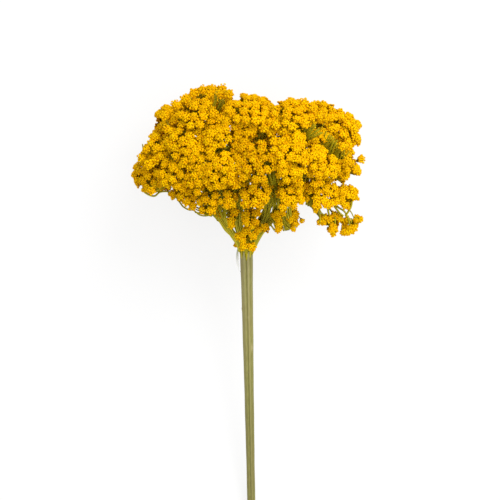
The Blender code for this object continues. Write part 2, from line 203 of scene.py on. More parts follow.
class Network:
    """A tree of shader nodes under construction."""

    # a Mix node's sockets for two colours, and its colour result
    FIRST_COLOUR = 6
    SECOND_COLOUR = 7
    MIXED_COLOUR = 2

    def __init__(self, tree: bpy.types.NodeTree) -> None:
        """Take over a node tree."""
        self.tree = tree

    def node(self, kind: str, settings: dict, inputs: dict) -> bpy.types.Node:
        """Add one node.

        Args:
            kind: the node's type.
            settings: the node's own properties, which are set first; "stops" are a ramp's stops.
            inputs: values or wires, by the socket's name or number.

        Returns:
            The node.
        """
        made = self.tree.nodes.new(kind)
        for name, value in settings.items():
            if name == "stops":
                ramp = made.color_ramp.elements
                while len(ramp) < len(value):
                    ramp.new(1.0)
                for stop, (place, colour) in zip(ramp, value):
                    stop.position = place
                    stop.color = (*colour, 1.0)
            else:
                setattr(made, name, value)
        for name, value in inputs.items():
            self.feed(made.inputs[name], value)
        return made

    def feed(self, socket: bpy.types.NodeSocket, value: object) -> None:
        """Set a socket, or link a wire to it.

        Args:
            socket: the socket.
            value: a wire, a number, or a colour without its alpha.
        """
        if isinstance(value, Wire):
            self.tree.links.new(value.socket, socket)
        elif isinstance(value, tuple) and socket.type == "RGBA":
            socket.default_value = (*value, 1.0)
        else:
            socket.default_value = value

    def wire(self, kind: str, settings: dict, inputs: dict, output: int | str = 0) -> Wire:
        """Add one node and take one of its outputs."""
        return Wire(self, self.node(kind, settings, inputs).outputs[output])

    def value_of(self, name: str) -> Wire:
        """A number that the mesh carries at each point."""
        return self.wire("ShaderNodeAttribute", {"attribute_name": name}, {}, "Fac")

    def noise(self, size: float, detail: float = 2.0, along: float = 1.0) -> Wire:
        """Soft random patches, from 0 to 1.

        Args:
            size: how wide a patch is, in metres.
            detail: how many finer layers it has.
            along: under 1, it stretches the patches along Y.

        Returns:
            The wire.
        """
        place = self.wire("ShaderNodeTexCoord", {}, {}, "Object")
        place = self.wire("ShaderNodeVectorMath", {"operation": "MULTIPLY"},
                          {0: place, 1: (1.0, along, 1.0)})
        inputs = {"Vector": place, "Scale": 1.0 / size, "Detail": detail}
        return self.wire("ShaderNodeTexNoise", {}, inputs, "Fac")

    def ramp(self, mask: Wire, *stops: tuple[float, tuple]) -> Wire:
        """A colour for each value of the mask."""
        return self.wire("ShaderNodeValToRGB", {"stops": stops}, {0: mask}, "Color")

    def mix(self, mask: Wire, first: "Wire | tuple", second: "Wire | tuple") -> Wire:
        """Two colours, mixed by a mask."""
        inputs = {"Factor": mask, self.FIRST_COLOUR: first, self.SECOND_COLOUR: second}
        return self.wire("ShaderNodeMix", {"data_type": "RGBA"}, inputs, self.MIXED_COLOUR)

    def brighten(self, surface: bpy.types.NodeSocket, output: bpy.types.NodeSocket,
                 share: float) -> None:
        """Mix a share of plain white over a surface, for the camera and for clear reflections.

        Args:
            surface: the surface's or the background's own result.
            output: the socket that it goes to.
            share: how much white there is, from 0 to 1.
        """
        path = self.node("ShaderNodeLightPath", {}, {})
        seen = Wire(self, path.outputs["Is Camera Ray"])
        for ray in ("Is Glossy Ray", "Is Transmission Ray"):
            seen = seen.or_more(Wire(self, path.outputs[ray]))
        white = self.wire("ShaderNodeEmission", {}, {"Color": (1.0, 1.0, 1.0), "Strength": 1.0})
        mixed = self.wire(
            "ShaderNodeMixShader", {}, {"Fac": seen * share, 1: Wire(self, surface), 2: white}
        )
        self.tree.links.new(mixed.socket, output)


class Shader(Network):
    """A material under construction: a Principled surface and the nodes that feed it."""

    def __init__(self, name: str) -> None:
        """Start a material with an empty Principled surface.

        Args:
            name: the material's name.
        """
        self.material = bpy.data.materials.new(name)
        self.material.use_nodes = True
        super().__init__(self.material.node_tree)
        self.surface = self.tree.nodes["Principled BSDF"]
        self.output = self.tree.nodes["Material Output"]

    def bump(self, height: Wire, depth: float) -> None:
        """Feed the surface's normal from a height, with the depth in metres."""
        inputs = {"Height": height, "Strength": 1.0, "Distance": depth}
        self.feed(self.surface.inputs["Normal"], self.wire("ShaderNodeBump", {}, inputs))

    def dress(self, **inputs: "Wire | float | tuple") -> bpy.types.Material:
        """Feed the surface's sockets, where "base_color" means Base Color.

        Args:
            inputs: values or wires, by the socket's name.

        Returns:
            The finished material.
        """
        for name, value in inputs.items():
            self.feed(self.surface.inputs[name.replace("_", " ").title()], value)
        return self.material


@dataclass(frozen=True)
class FloretFinish:
    """The florets: gold lobes over deep orange throats, with painted highlights and painted shade."""

    throat: tuple = (0.25, 0.108, 0.0)
    deep: tuple = (0.60, 0.280, 0.0)
    gold: tuple = (0.91, 0.490, 0.0)
    # painted highlight: the colour at the top of the light values, on the lobes' crests
    crest_highlight: tuple = (0.98, 0.650, 0.0)
    # older florets and painted shade: the brown that the tone mixes in
    aged_and_shaded: tuple = (0.50, 0.225, 0.0)
    orange: tuple = (0.86, 0.345, 0.0)
    lemon: tuple = (0.95, 0.690, 0.0)
    rough: float = 0.7

    def build(self) -> bpy.types.Material:
        """Make the material.

        Returns:
            The material.
        """
        shader = Shader("floret_gold")
        light = shader.value_of("light")
        # painted light: the light values run from painted shade in throats, notches and the core to
        # painted highlights on the crests
        colour = shader.ramp(
            light + (shader.value_of("fleck") - 0.5) * 0.22,
            (0.0, self.throat), (0.28, self.deep), (0.62, self.gold), (1.0, self.crest_highlight),
        )
        # tone mixes in older florets, and painted shade on shaded clusters and heads
        colour = shader.mix(shader.value_of("tone") * 0.45, colour, self.aged_and_shaded)
        hue = shader.noise(1.5 * MM, 1.0) + (shader.value_of("fleck") - 0.5) * 0.30
        colour = shader.mix(((hue - 0.54) * 5.0).clamped() * light * 0.7, colour, self.orange)
        colour = shader.mix(((0.45 - hue) * 5.0).clamped() * light * 0.7, colour, self.lemon)
        patches = shader.noise(9.0 * MM)
        colour = shader.mix((1.0 - patches) * 0.25, colour, self.deep)
        shader.bump(shader.noise(0.18 * MM, 3.0), 0.02 * MM)
        shader.surface.inputs["Specular IOR Level"].default_value = 0.03
        return shader.dress(base_color=colour, roughness=self.rough + patches * 0.15)


@dataclass(frozen=True)
class CupFinish:
    """The involucres: yellow-green bracts with browner edges, and painted light and shade."""

    green: tuple = (0.18, 0.145, 0.001)
    lit_pale: tuple = (0.42, 0.310, 0.002)
    edge: tuple = (0.44, 0.230, 0.000)

    def build(self) -> bpy.types.Material:
        """Make the material.

        Returns:
            The material.
        """
        shader = Shader("involucre_green")
        light = shader.value_of("light")
        # painted light: pale where the light is high, at the cup's top and raised bracts, and green in
        # the painted shade below
        colour = shader.mix(light, self.green, self.lit_pale)
        colour = shader.mix(shader.noise(0.6 * MM) ** 3.0, colour, self.edge)
        shader.bump(shader.noise(0.25 * MM, 3.0), 0.05 * MM)
        shader.surface.inputs["Specular IOR Level"].default_value = 0.05
        return shader.dress(base_color=colour, roughness=0.7)


@dataclass(frozen=True)
class StalkFinish:
    """The branches, stalks and pedicels: olive green, with painted highlights on the ribs and painted
    shade in the grooves.
    """

    groove: tuple = (0.130, 0.105, 0.000)
    body: tuple = (0.400, 0.345, 0.003)
    rib: tuple = (0.680, 0.600, 0.045)
    stain: tuple = (0.250, 0.160, 0.000)

    def build(self) -> bpy.types.Material:
        """Make the material.

        Returns:
            The material.
        """
        shader = Shader("stalk_green")
        light = shader.value_of("light")
        # painted light: grooves dark as painted shade, ribs pale as painted highlights
        colour = shader.ramp(light, (0.0, self.groove), (0.5, self.body), (1.0, self.rib))
        patches = shader.noise(6.0 * MM, 4.0)
        colour = shader.mix(patches ** 2.0 * 0.6, colour, self.stain)
        shader.bump(shader.noise(0.35 * MM, 4.0), 0.04 * MM)
        shader.surface.inputs["Specular IOR Level"].default_value = 0.08
        return shader.dress(base_color=colour, roughness=0.55 + patches * 0.2)


@dataclass(frozen=True)
class StemFinish:
    """The main stem: pale olive ribs, some of them tan, with fine streaks, painted highlights and
    painted shade.
    """

    groove: tuple = (0.110, 0.105, 0.018)
    body: tuple = (0.270, 0.255, 0.072)
    rib: tuple = (0.430, 0.405, 0.185)
    tan: tuple = (0.380, 0.310, 0.150)
    stain: tuple = (0.230, 0.175, 0.070)

    def build(self) -> bpy.types.Material:
        """Make the material.

        Returns:
            The material.
        """
        shader = Shader("stem_green")
        streaks = shader.noise(0.55 * MM, 3.0, along=0.06)
        light = shader.value_of("light") + (streaks - 0.5) * 0.55
        # the light is partly the ribs' own paler and darker colours and partly painted highlights and
        # painted shade
        colour = shader.ramp(light, (0.0, self.groove), (0.5, self.body), (1.0, self.rib))
        colour = shader.mix(shader.value_of("tone") * 0.7, colour, self.tan)
        patches = shader.noise(7.0 * MM, 4.0, along=0.35)
        colour = shader.mix(((patches - 0.45) * 2.5).clamped() * 0.55, colour, self.stain)
        shader.bump(streaks + shader.noise(0.3 * MM, 3.0) * 0.5, 0.05 * MM)
        shader.surface.inputs["Specular IOR Level"].default_value = 0.3
        return shader.dress(base_color=colour, roughness=0.6 + patches * 0.2)


@dataclass(frozen=True)
class BractFinish:
    """The dry bract: a papery blade that lets light through, greener at its foot."""

    paper: tuple = (0.80, 0.80, 0.74)
    green: tuple = (0.42, 0.45, 0.26)
    vein: tuple = (0.60, 0.60, 0.50)

    def build(self) -> bpy.types.Material:
        """Make the material.

        Returns:
            The material.
        """
        shader = Shader("bract_paper")
        light = shader.value_of("light")
        colour = shader.mix(light, self.green, self.paper)
        veins = shader.noise(0.25 * MM, 2.0, along=0.05)
        colour = shader.mix(((veins - 0.5) * 3.0).clamped() * 0.6, colour, self.vein)
        alpha = 0.85 - light * 0.55
        return shader.dress(base_color=colour, roughness=0.6, alpha=alpha)


# ---------------------------------------------------------------- forms


# painted light: a head whose painted light and shade are evened out is painted this much lighter
EVEN_LIGHT = 0.12  # how far a head with no contrast is lighter than a plain one's mean


@dataclass
class Form:
    """Points, triangles and the values that the finishes read, before they become a mesh.

    Light is painted light and shade, from painted shade in the grooves to painted highlights on the
    edges, and on the stem partly the ribs' own colour; fleck is each floret's own chance, and tone
    shifts the colour towards older florets and painted shade, and on the stem towards a tan rib.
    """

    points: Array
    faces: Array
    skin: Array
    light: Array
    fleck: Array
    tone: Array

    @classmethod
    def plain(cls, points: Array, faces: Array, skin: Skin, light: Array,
              fleck: float = 0.5) -> "Form":
        """A form in one finish."""
        count = len(points)
        return cls(
            np.asarray(points, float), np.asarray(faces, int),
            np.full(len(faces), skin.value), np.full(count, 1.0) * light,
            np.full(count, fleck), np.zeros(count),
        )

    @classmethod
    def joined(cls, forms: "list[Form]") -> "Form":
        """Several forms as one.

        Args:
            forms: the forms, of which there has to be one.

        Returns:
            One form with all their points and triangles.
        """
        starts = np.cumsum([0] + [len(form.points) for form in forms[:-1]])
        faces = np.concatenate([form.faces + start for form, start in zip(forms, starts)])
        rest = [
            np.concatenate([getattr(form, name) for form in forms])
            for name in ("skin", "light", "fleck", "tone")
        ]
        return cls(np.concatenate([form.points for form in forms]), faces, *rest)

    def placed(self, turn: Array, at: Array, size: float, tone: float,
               even: float = 0.0) -> "Form":
        """A copy, turned, scaled and moved.

        Args:
            turn: a 3 by 3 rotation matrix.
            at: where the form's own origin goes.
            size: the scale.
            tone: the copy's own shift of colour.
            even: how far its light is evened out, from 0 to 1.

        Returns:
            The copy.
        """
        points = (self.points * size) @ turn.T + at
        light = self.light + (self.light.mean() + EVEN_LIGHT - self.light) * even
        return Form(points, self.faces, self.skin, light, self.fleck,
                    np.full(len(points), tone))

    def rotated(self, turn: Array, at: Array) -> "Form":
        """A copy, turned and moved, with its colours kept."""
        return Form(self.points @ turn.T + at, self.faces, self.skin, self.light, self.fleck,
                    self.tone)

    def to_piece(self, name: str, slot: str, finishes: list[bpy.types.Material]) -> bpy.types.Object:
        """Make a mesh object that rides on the model's body.

        Args:
            name: the piece's name.
            slot: the model's material slot that it belongs to; it is not used.
            finishes: the materials, in the order of Skin.

        Returns:
            The object.
        """
        points = self.points.copy()
        points[:, 2] = np.maximum(points[:, 2], TABLE_CLEARANCE)
        mesh = bpy.data.meshes.new(name)
        mesh.vertices.add(len(points))
        mesh.vertices.foreach_set("co", points.astype(np.float32).ravel())
        mesh.loops.add(len(self.faces) * 3)
        mesh.loops.foreach_set("vertex_index", self.faces.astype(np.int32).ravel())
        mesh.polygons.add(len(self.faces))
        mesh.polygons.foreach_set("loop_start", np.arange(len(self.faces), dtype=np.int32) * 3)
        mesh.polygons.foreach_set("use_smooth", np.ones(len(self.faces), bool))
        used = sorted(set(self.skin.tolist()))
        slots = {skin: k for k, skin in enumerate(used)}
        mesh.polygons.foreach_set(
            "material_index", np.array([slots[s] for s in self.skin.tolist()], np.int32)
        )
        for skin in used:
            mesh.materials.append(finishes[skin])
        for value in ("light", "fleck", "tone"):
            layer = mesh.attributes.new(value, "FLOAT", "POINT")
            layer.data.foreach_set("value", getattr(self, value).astype(np.float32))
        mesh.update(calc_edges=True)
        mesh.validate()
        piece = bpy.data.objects.new(name, mesh)
        bpy.context.scene.collection.objects.link(piece)
        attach(piece, BODY)
        LOG.info("%s: %d triangles", name, len(self.faces))
        return piece


def strip(lower: list[int], upper: list[int]) -> list[tuple[int, int, int]]:
    """The triangles between two closed rings with the same number of points.

    Args:
        lower: the numbers of one ring's points.
        upper: the numbers of the other's, in the same order.

    Returns:
        The triangles.
    """
    faces = []
    count = len(lower)
    for k in range(count):
        n = (k + 1) % count
        faces.append((lower[k], lower[n], upper[n]))
        faces.append((lower[k], upper[n], upper[k]))
    return faces


@dataclass(frozen=True)
class Outline:
    """A tube's section: its radius and colour values at even turns round it."""

    reach: Array
    light: Array
    tone: Array

    @classmethod
    def ribbed(cls, sides: int, ribs: int, depth: float) -> "Outline":
        """Even ribs, their light from painted shade at 0 in the grooves to painted highlights at 1 on
        the ribs.
        """
        wave = 0.5 + 0.5 * np.cos(np.arange(sides) * 2.0 * math.pi / sides * ribs)
        return cls(1.0 - depth * (1.0 - wave), wave, np.zeros(sides))


def sweep(line: Array, radii: Array, outline: Outline, skin: Skin, flat: float = 1.0) -> Form:
    """A closed tube.

    Args:
        line: the points of its middle line, one a row.
        radii: its radius at each point.
        outline: its section.
        skin: its finish.
        flat: its thickness across the front, as a share of its width.

    Returns:
        The tube.
    """
    ways = np.gradient(line, axis=0)
    ways /= np.linalg.norm(ways, axis=1)[:, None]
    across = unit(np.cross(ways[0], FRONT) + 1e-6)  # never nothing, even on a line to the front
    sides = len(outline.reach)
    turns = np.arange(sides) * 2.0 * math.pi / sides
    points = []
    for point, way, radius in zip(line, ways, radii):
        across = unit(across - way * across.dot(way))
        along = np.cross(way, across) * flat
        ring = np.outer(np.cos(turns), across) + np.outer(np.sin(turns), along)
        points.append(point + ring * (outline.reach * radius)[:, None])
    faces = []
    for k in range(len(line) - 1):
        start = k * sides
        faces += strip(list(range(start, start + sides)),
                       list(range(start + sides, start + 2 * sides)))
    foot_cap = len(line) * sides
    tip_cap = foot_cap + 1
    last = foot_cap - sides
    for k in range(sides):
        n = (k + 1) % sides
        faces += [(n, k, foot_cap), (last + k, last + n, tip_cap)]
    form = Form.plain(np.vstack([*points, line[0], line[-1]]), faces, skin,
                      np.concatenate([np.tile(outline.light, len(line)), [0.5, 0.5]]))
    form.tone = np.concatenate([np.tile(outline.tone, len(line)), [0.0, 0.0]])
    return form


def lathe(profile: list[tuple[float, float]], sides: int, scallop: float, skin: Skin,
          light: list[float]) -> Form:
    """An open turned shape with scalloped rings, like overlapping bracts.

    Args:
        profile: radius and height of each ring, in metres, from the top down.
        sides: how many points a ring has.
        scallop: how far every other point stands out, as a share of the radius.
        skin: its finish.
        light: the light of each ring.

    Returns:
        The shape.
    """
    points, values = [], []
    for row, ((radius, height), level) in enumerate(zip(profile, light)):
        for k in range(sides):
            turn = 2.0 * math.pi * k / sides
            raised = (k + row) % 2 == 1
            out = 1.0 + scallop * (1.0 if raised else -1.0)
            points.append((radius * out * math.cos(turn), radius * out * math.sin(turn), height))
            # painted light: a raised scallop is painted lighter and a sunk one darker
            values.append(level + (0.25 if raised else -0.1))
    faces = []
    for row in range(len(profile) - 1):
        upper = list(range(row * sides, (row + 1) * sides))
        lower = list(range((row + 1) * sides, (row + 2) * sides))
        faces += strip(lower, upper)
    return Form.plain(np.array(points), faces, skin, np.clip(values, 0.0, 1.0))


# ---------------------------------------------------------------- one flower head


class Bloom(Enum):
    """How far a floret has come. Each value is how often it is met."""

    OPEN = 0.45
    POLLEN = 0.35
    BUD = 0.20


@dataclass(frozen=True)
class Floret:
    """A disc floret: five arched lobes round a throat, on a short tapering tube."""

    lobes: int = 5
    spread: float = 0.60 * MM
    notch: float = 0.47 * MM
    notch_drop: float = 0.16 * MM
    crest: float = 0.36 * MM
    arch: float = 0.20 * MM
    throat: float = 0.16 * MM
    anther: float = 0.30 * MM
    bud: float = 0.40 * MM
    tube: float = 0.95 * MM

    def build(self, rng: np.random.Generator, tubed: bool) -> Form:
        """Make one floret, open, in pollen or still in bud.

        Args:
            rng: the source of chance.
            tubed: whether its tube is made too.

        Returns:
            The floret, with its origin in its throat.
        """
        stages = list(Bloom)
        bloom = stages[int(rng.choice(len(stages), p=[stage.value for stage in stages]))]
        spread = self.bud if bloom is Bloom.BUD else self.spread
        notch = self.bud * 0.9 if bloom is Bloom.BUD else self.notch
        points, light = [], []
        rim = 2 * self.lobes
        for k in range(rim):
            turn = 2.0 * math.pi * k / rim
            tip = k % 2 == 0
            radius = (spread if tip else notch) * rng.uniform(0.9, 1.08)
            drop = rng.uniform(0.06, 0.20) * MM if tip else self.notch_drop
            points.append((radius * math.cos(turn), radius * math.sin(turn), -drop))
            # painted light: the lobes' tips are painted mid and the notches between them dark, as
            # painted shade
            light.append(rng.uniform(0.40, 0.62) if tip else 0.14)
        for k in range(self.lobes):
            turn = 2.0 * math.pi * k / self.lobes
            lift = self.arch * rng.uniform(0.6, 1.2)
            points.append((self.crest * math.cos(turn), self.crest * math.sin(turn), lift))
            # painted highlight on each lobe's crest
            light.append(rng.uniform(0.85, 1.0))
        height, glow = self.middle(bloom)
        points += [(0.0, 0.0, height), (0.0, 0.0, -self.tube)]
        light += [glow, 0.0]
        middle, foot = rim + self.lobes, rim + self.lobes + 1
        faces = []
        for k in range(self.lobes):
            tip, after, before = 2 * k, 2 * k + 1, (2 * k - 1) % rim
            crest, following = rim + k, rim + (k + 1) % self.lobes
            faces += [(tip, after, crest), (before, tip, crest), (crest, after, following)]
            faces.append((crest, following, middle))
            if tubed:
                faces += [(foot, after, tip), (foot, tip, before)]
        return Form.plain(np.array(points), faces, Skin.FLORET, np.array(light),
                          fleck=rng.uniform())

    def middle(self, bloom: Bloom) -> tuple[float, float]:
        """The height of a floret's middle, and its light: its own dark throat with painted shade when
        open, bright on pollen and buds.

        Args:
            bloom: how far the floret has come.

        Returns:
            The height over the throat's rim, in metres, and the light.
        """
        if bloom is Bloom.OPEN:
            return -self.throat, 0.05
        if bloom is Bloom.POLLEN:
            return self.anther, 0.80
        return self.anther * 1.1, 0.90


@dataclass(frozen=True)
class FlowerHead:
    """One flower head: an involucre and a cushion of florets. Its origin is under the florets.

    The florets from the first tube outwards show their tubes, and florets nearer the rim get more
    painted shade. A bare head has no involucre. The core and the cup are rings of a turned shape,
    as radius and height in mm, each with its light, which paints shade into the core and down
    the cup.
    """

    florets: int = 16
    reach: float = 1.92 * MM
    rise: float = 0.75 * MM
    lean: float = 0.88
    depth: float = 3.3 * MM
    first_tube: int = 8
    # painted shade: how much darker the outermost florets are painted
    rim_painted_shade: float = 0.14
    bare: bool = False
    # painted shade: the core's light is low between the florets, and the cup's falls towards its foot
    # under the head
    core: tuple = ((0.0, 0.42, 0.35), (1.0, 0.15, 0.30), (1.62, -0.62, 0.20))
    cup: tuple = ((1.12, -0.50, 0.8), (1.16, -1.1, 0.6), (0.98, -1.9, 0.45), (0.62, -2.7, 0.3),
                  (0.26, -3.3, 0.1))

    def build(self, rng: np.random.Generator) -> Form:
        """Make one head, with its own small differences.

        Args:
            rng: the source of chance.

        Returns:
            The head.
        """
        floret = Floret()
        forms = []
        for k in range(self.florets):
            share = math.sqrt((k + 0.4) / self.florets)
            turn = k * GOLDEN_TURN + rng.uniform(-0.15, 0.15)
            radius = self.reach * share * rng.uniform(0.93, 1.06)
            out = np.array([math.cos(turn), math.sin(turn), 0.0])
            tilt = self.lean * share
            normal = out * math.sin(tilt) + np.array([0.0, 0.0, math.cos(tilt)])
            normal += rng.normal(0.0, 0.12, 3)
            height = self.rise * (1.0 - share * share) + rng.uniform(-0.18, 0.16) * MM
            at = out * radius + np.array([0.0, 0.0, height])
            made = floret.build(rng, k >= self.first_tube)
            # painted shade towards the head's rim
            made.light *= 1.0 - self.rim_painted_shade * share**3
            forms.append(made.rotated(frame_about(normal, rng.uniform(0.0, 6.3)), at))
        forms.append(self.turned(self.core, 8, 0.0, Skin.FLORET))
        if not self.bare:
            forms.append(self.turned(self.cup, 7, 0.08, Skin.CUP))
        return Form.joined(forms)

    def turned(self, rings: tuple, sides: int, scallop: float, skin: Skin) -> Form:
        """The turned shape of these rings."""
        profile = [(radius * MM, height * MM) for radius, height, _ in rings]
        return lathe(profile, sides, scallop, skin, [light for _, _, light in rings])


# ---------------------------------------------------------------- the plan of the flower


@dataclass(frozen=True)
class Branch:
    """A main branch: its foot's turn on the crown and its end from the crown, in mm.

    Its pull is how far it bows to the right between the two. Without a foot's turn it rises from
    the crown's middle.
    """

    name: str
    foot_turn: float | None
    side: float
    rise: float
    front: float
    bend: float = 0.30
    pull: float = 0.0


@dataclass(frozen=True)
class Cluster:
    """One cluster of flower heads: its dome's place and half sizes, in mm.

    It leaves its branch at the share of the branch's length that its fork gives, lies its sink
    under the flower's own curve, and faces the front by its face. Under means towards the table.
    """

    name: str
    branch: str
    fork: float
    x: float
    y: float
    wide: float
    tall: float
    sink: float = 0.0
    under: bool = False
    face: float = 0.45


BRANCHES = (
    Branch("branch_middle", None, -1.0, 44.0, 2.0),
    Branch("branch_right", 0.0, 24.0, 33.0, 3.0, 0.2),
    Branch("branch_right_front", 45.0, 16.0, 34.0, 15.0),
    Branch("branch_front", 90.0, 1.0, 22.0, 15.0, 0.2),
    Branch("branch_left_front", 135.0, -13.0, 32.0, 14.0),
    Branch("branch_left", 180.0, -25.0, 32.0, 4.0, 0.08, 1.2),
    Branch("branch_left_back", 225.0, -18.0, 36.0, -13.0),
    Branch("branch_back", 270.0, 0.0, 38.0, -18.0),
    Branch("branch_right_back", 315.0, 19.0, 36.0, -12.0),
)

CLUSTERS = (
    # top edge, left to right
    Cluster("cluster_left_corner", "branch_left", 0.92, -33.8, 78.3, 9.0, 9.0, 4.0),
    Cluster("cluster_upper_left", "branch_left_front", 0.97, -21.5, 78.0, 14.5, 12.0),
    Cluster("cluster_top_middle", "branch_middle", 0.96, -1.5, 79.5, 12.5, 12.0),
    Cluster("cluster_top_right", "branch_right_front", 0.97, 18.0, 77.0, 12.5, 12.5),
    Cluster("cluster_right_corner", "branch_right_front", 0.90, 33.5, 81.0, 10.0, 9.0, 1.0),
    Cluster("cluster_right_shoulder", "branch_right", 0.96, 39.5, 75.5, 11.0, 10.5),
    # the crest, between the front and the back
    Cluster("cluster_crest_left", "branch_left", 0.80, -27.0, 81.0, 10.5, 10.0, 14.0, face=0.1),
    Cluster("cluster_crest_middle", "branch_middle", 0.90, 0.0, 83.0, 12.0, 10.5, 23.0, face=0.0),
    Cluster("cluster_crest_right", "branch_right", 0.74, 20.0, 81.5, 11.5, 10.5, 18.0, face=0.1),
    # upper band, left to right
    Cluster("cluster_left_shoulder", "branch_left", 0.97, -37.8, 66.5, 10.5, 8.0),
    Cluster("cluster_left_band", "branch_left_front", 0.92, -26.5, 69.5, 11.5, 7.5),
    Cluster("cluster_left_ridge", "branch_left_front", 0.88, -13.0, 70.5, 9.0, 8.0),
    Cluster("cluster_left_cheek", "branch_left_front", 0.84, -23.5, 63.0, 12.0, 7.0),
    Cluster("cluster_middle_nook", "branch_middle", 0.85, -1.5, 72.5, 9.5, 8.5, 4.0),
    Cluster("cluster_middle_small", "branch_middle", 0.75, 0.0, 65.5, 10.0, 7.0, 1.5),
    Cluster("cluster_right_nook", "branch_right_front", 0.78, 28.5, 70.5, 9.0, 7.5, 7.0),
    Cluster("cluster_right_ridge", "branch_right_front", 0.84, 16.0, 61.5, 10.5, 12.0),
    Cluster("cluster_right_slope", "branch_right_front", 0.72, 30.0, 60.5, 11.5, 9.5),
    Cluster("cluster_right_rim", "branch_right", 0.90, 40.0, 60.0, 9.5, 8.0),
    # lower band, left to right
    Cluster("cluster_left_rim", "branch_left", 0.90, -41.2, 56.5, 11.5, 8.5, 3.0),
    Cluster("cluster_left_chin", "branch_left", 0.84, -30.0, 55.5, 11.0, 8.0),
    Cluster("cluster_left_foot", "branch_left", 0.72, -25.5, 46.5, 9.0, 7.5, 2.0),
    Cluster("cluster_left_skirt", "branch_left", 0.62, -16.5, 46.5, 8.0, 9.0, 3.0),
    Cluster("cluster_front_left", "branch_left_front", 0.76, -12.5, 57.5, 11.0, 10.0),
    Cluster("cluster_front_middle", "branch_front", 0.97, 2.5, 58.0, 9.5, 9.5),
    Cluster("cluster_front_column", "branch_front", 0.82, -8.0, 46.5, 5.5, 7.0, 3.0),
    Cluster("cluster_front_low", "branch_front", 0.90, 2.5, 47.5, 8.5, 7.5, 1.5),
    Cluster("cluster_front_right", "branch_right_front", 0.60, 16.5, 47.5, 8.0, 7.5, 1.0),
    Cluster("cluster_right_skirt", "branch_right", 0.80, 30.0, 47.5, 10.0, 8.5, 2.0, face=0.7),
    Cluster("cluster_right_edge", "branch_right", 0.86, 39.5, 47.5, 9.5, 7.0, 1.0, face=0.8),
    # lowest clusters, round the crown
    Cluster("cluster_low_left", "branch_front", 0.58, -6.8, 38.0, 4.3, 6.5, 8.0, face=0.7),
    Cluster("cluster_low_middle", "branch_front", 0.70, 2.5, 38.5, 7.0, 6.5, 7.0),
    Cluster("cluster_low_right", "branch_right_front", 0.38, 12.5, 37.5, 4.3, 7.0, 7.0, face=0.8),
    Cluster("cluster_low_far_right", "branch_right_front", 0.48, 18.3, 38.0, 4.5, 7.0, 9.0, face=0.8),
    Cluster("cluster_crown_left", "branch_front", 0.36, -0.2, 29.5, 6.0, 6.5, -0.5),
    Cluster("cluster_crown_right", "branch_front", 0.48, 5.5, 33.5, 5.5, 6.5, 7.0),
    Cluster("cluster_hanging_inner", "branch_right", 0.8, 35.0, 36.0, 8.0, 6.5, -4.0, face=1.2),
    Cluster("cluster_hanging_outer", "branch_right", 0.92, 42.8, 35.0, 7.5, 6.0, -2.0, face=1.2),
    # the side that faces the table
    Cluster("cluster_back_top_left", "branch_left_back", 0.97, -17.5, 88.0, 13.5, 9.0, 6.0, True),
    Cluster("cluster_back_top_right", "branch_back", 0.97, 8.0, 83.0, 13.0, 10.5, 2.0, True),
    Cluster("cluster_back_right_corner", "branch_right_back", 0.97, 28.0, 76.0, 11.5, 10.5, 2.0, True),
    Cluster("cluster_back_left_corner", "branch_left_back", 0.90, -33.0, 70.5, 11.0, 10.5, 1.0, True),
    Cluster("cluster_back_middle", "branch_back", 0.90, 0.0, 67.0, 12.5, 10.5, 0.0, True),
    Cluster("cluster_back_left", "branch_left_back", 0.82, -20.0, 61.0, 11.0, 11.0, 0.0, True),
    Cluster("cluster_back_right", "branch_right_back", 0.86, 20.0, 61.0, 11.0, 11.0, 0.0, True),
    Cluster("cluster_back_right_rim", "branch_right_back", 0.78, 36.5, 61.5, 11.0, 10.5, 5.0, True),
    Cluster("cluster_back_left_rim", "branch_left_back", 0.74, -37.5, 57.0, 11.0, 9.5, 6.0, True),
    Cluster("cluster_back_low_left", "branch_left_back", 0.62, -11.0, 49.5, 8.5, 8.0, 3.0, True),
    Cluster("cluster_back_low_right", "branch_right_back", 0.62, 12.0, 48.5, 8.5, 8.0, 3.0, True),
)


@dataclass(frozen=True)
class Opening:
    """A place without heads, as seen from straight above, in mm at half the flower's height.

    With stalks, a fan of them crosses it along its turn; without, one can look through.
    """

    x: float
    y: float
    radius: float = 1.9
    stalks: int = 0
    turn: float = 90.0
    length: float = 7.0


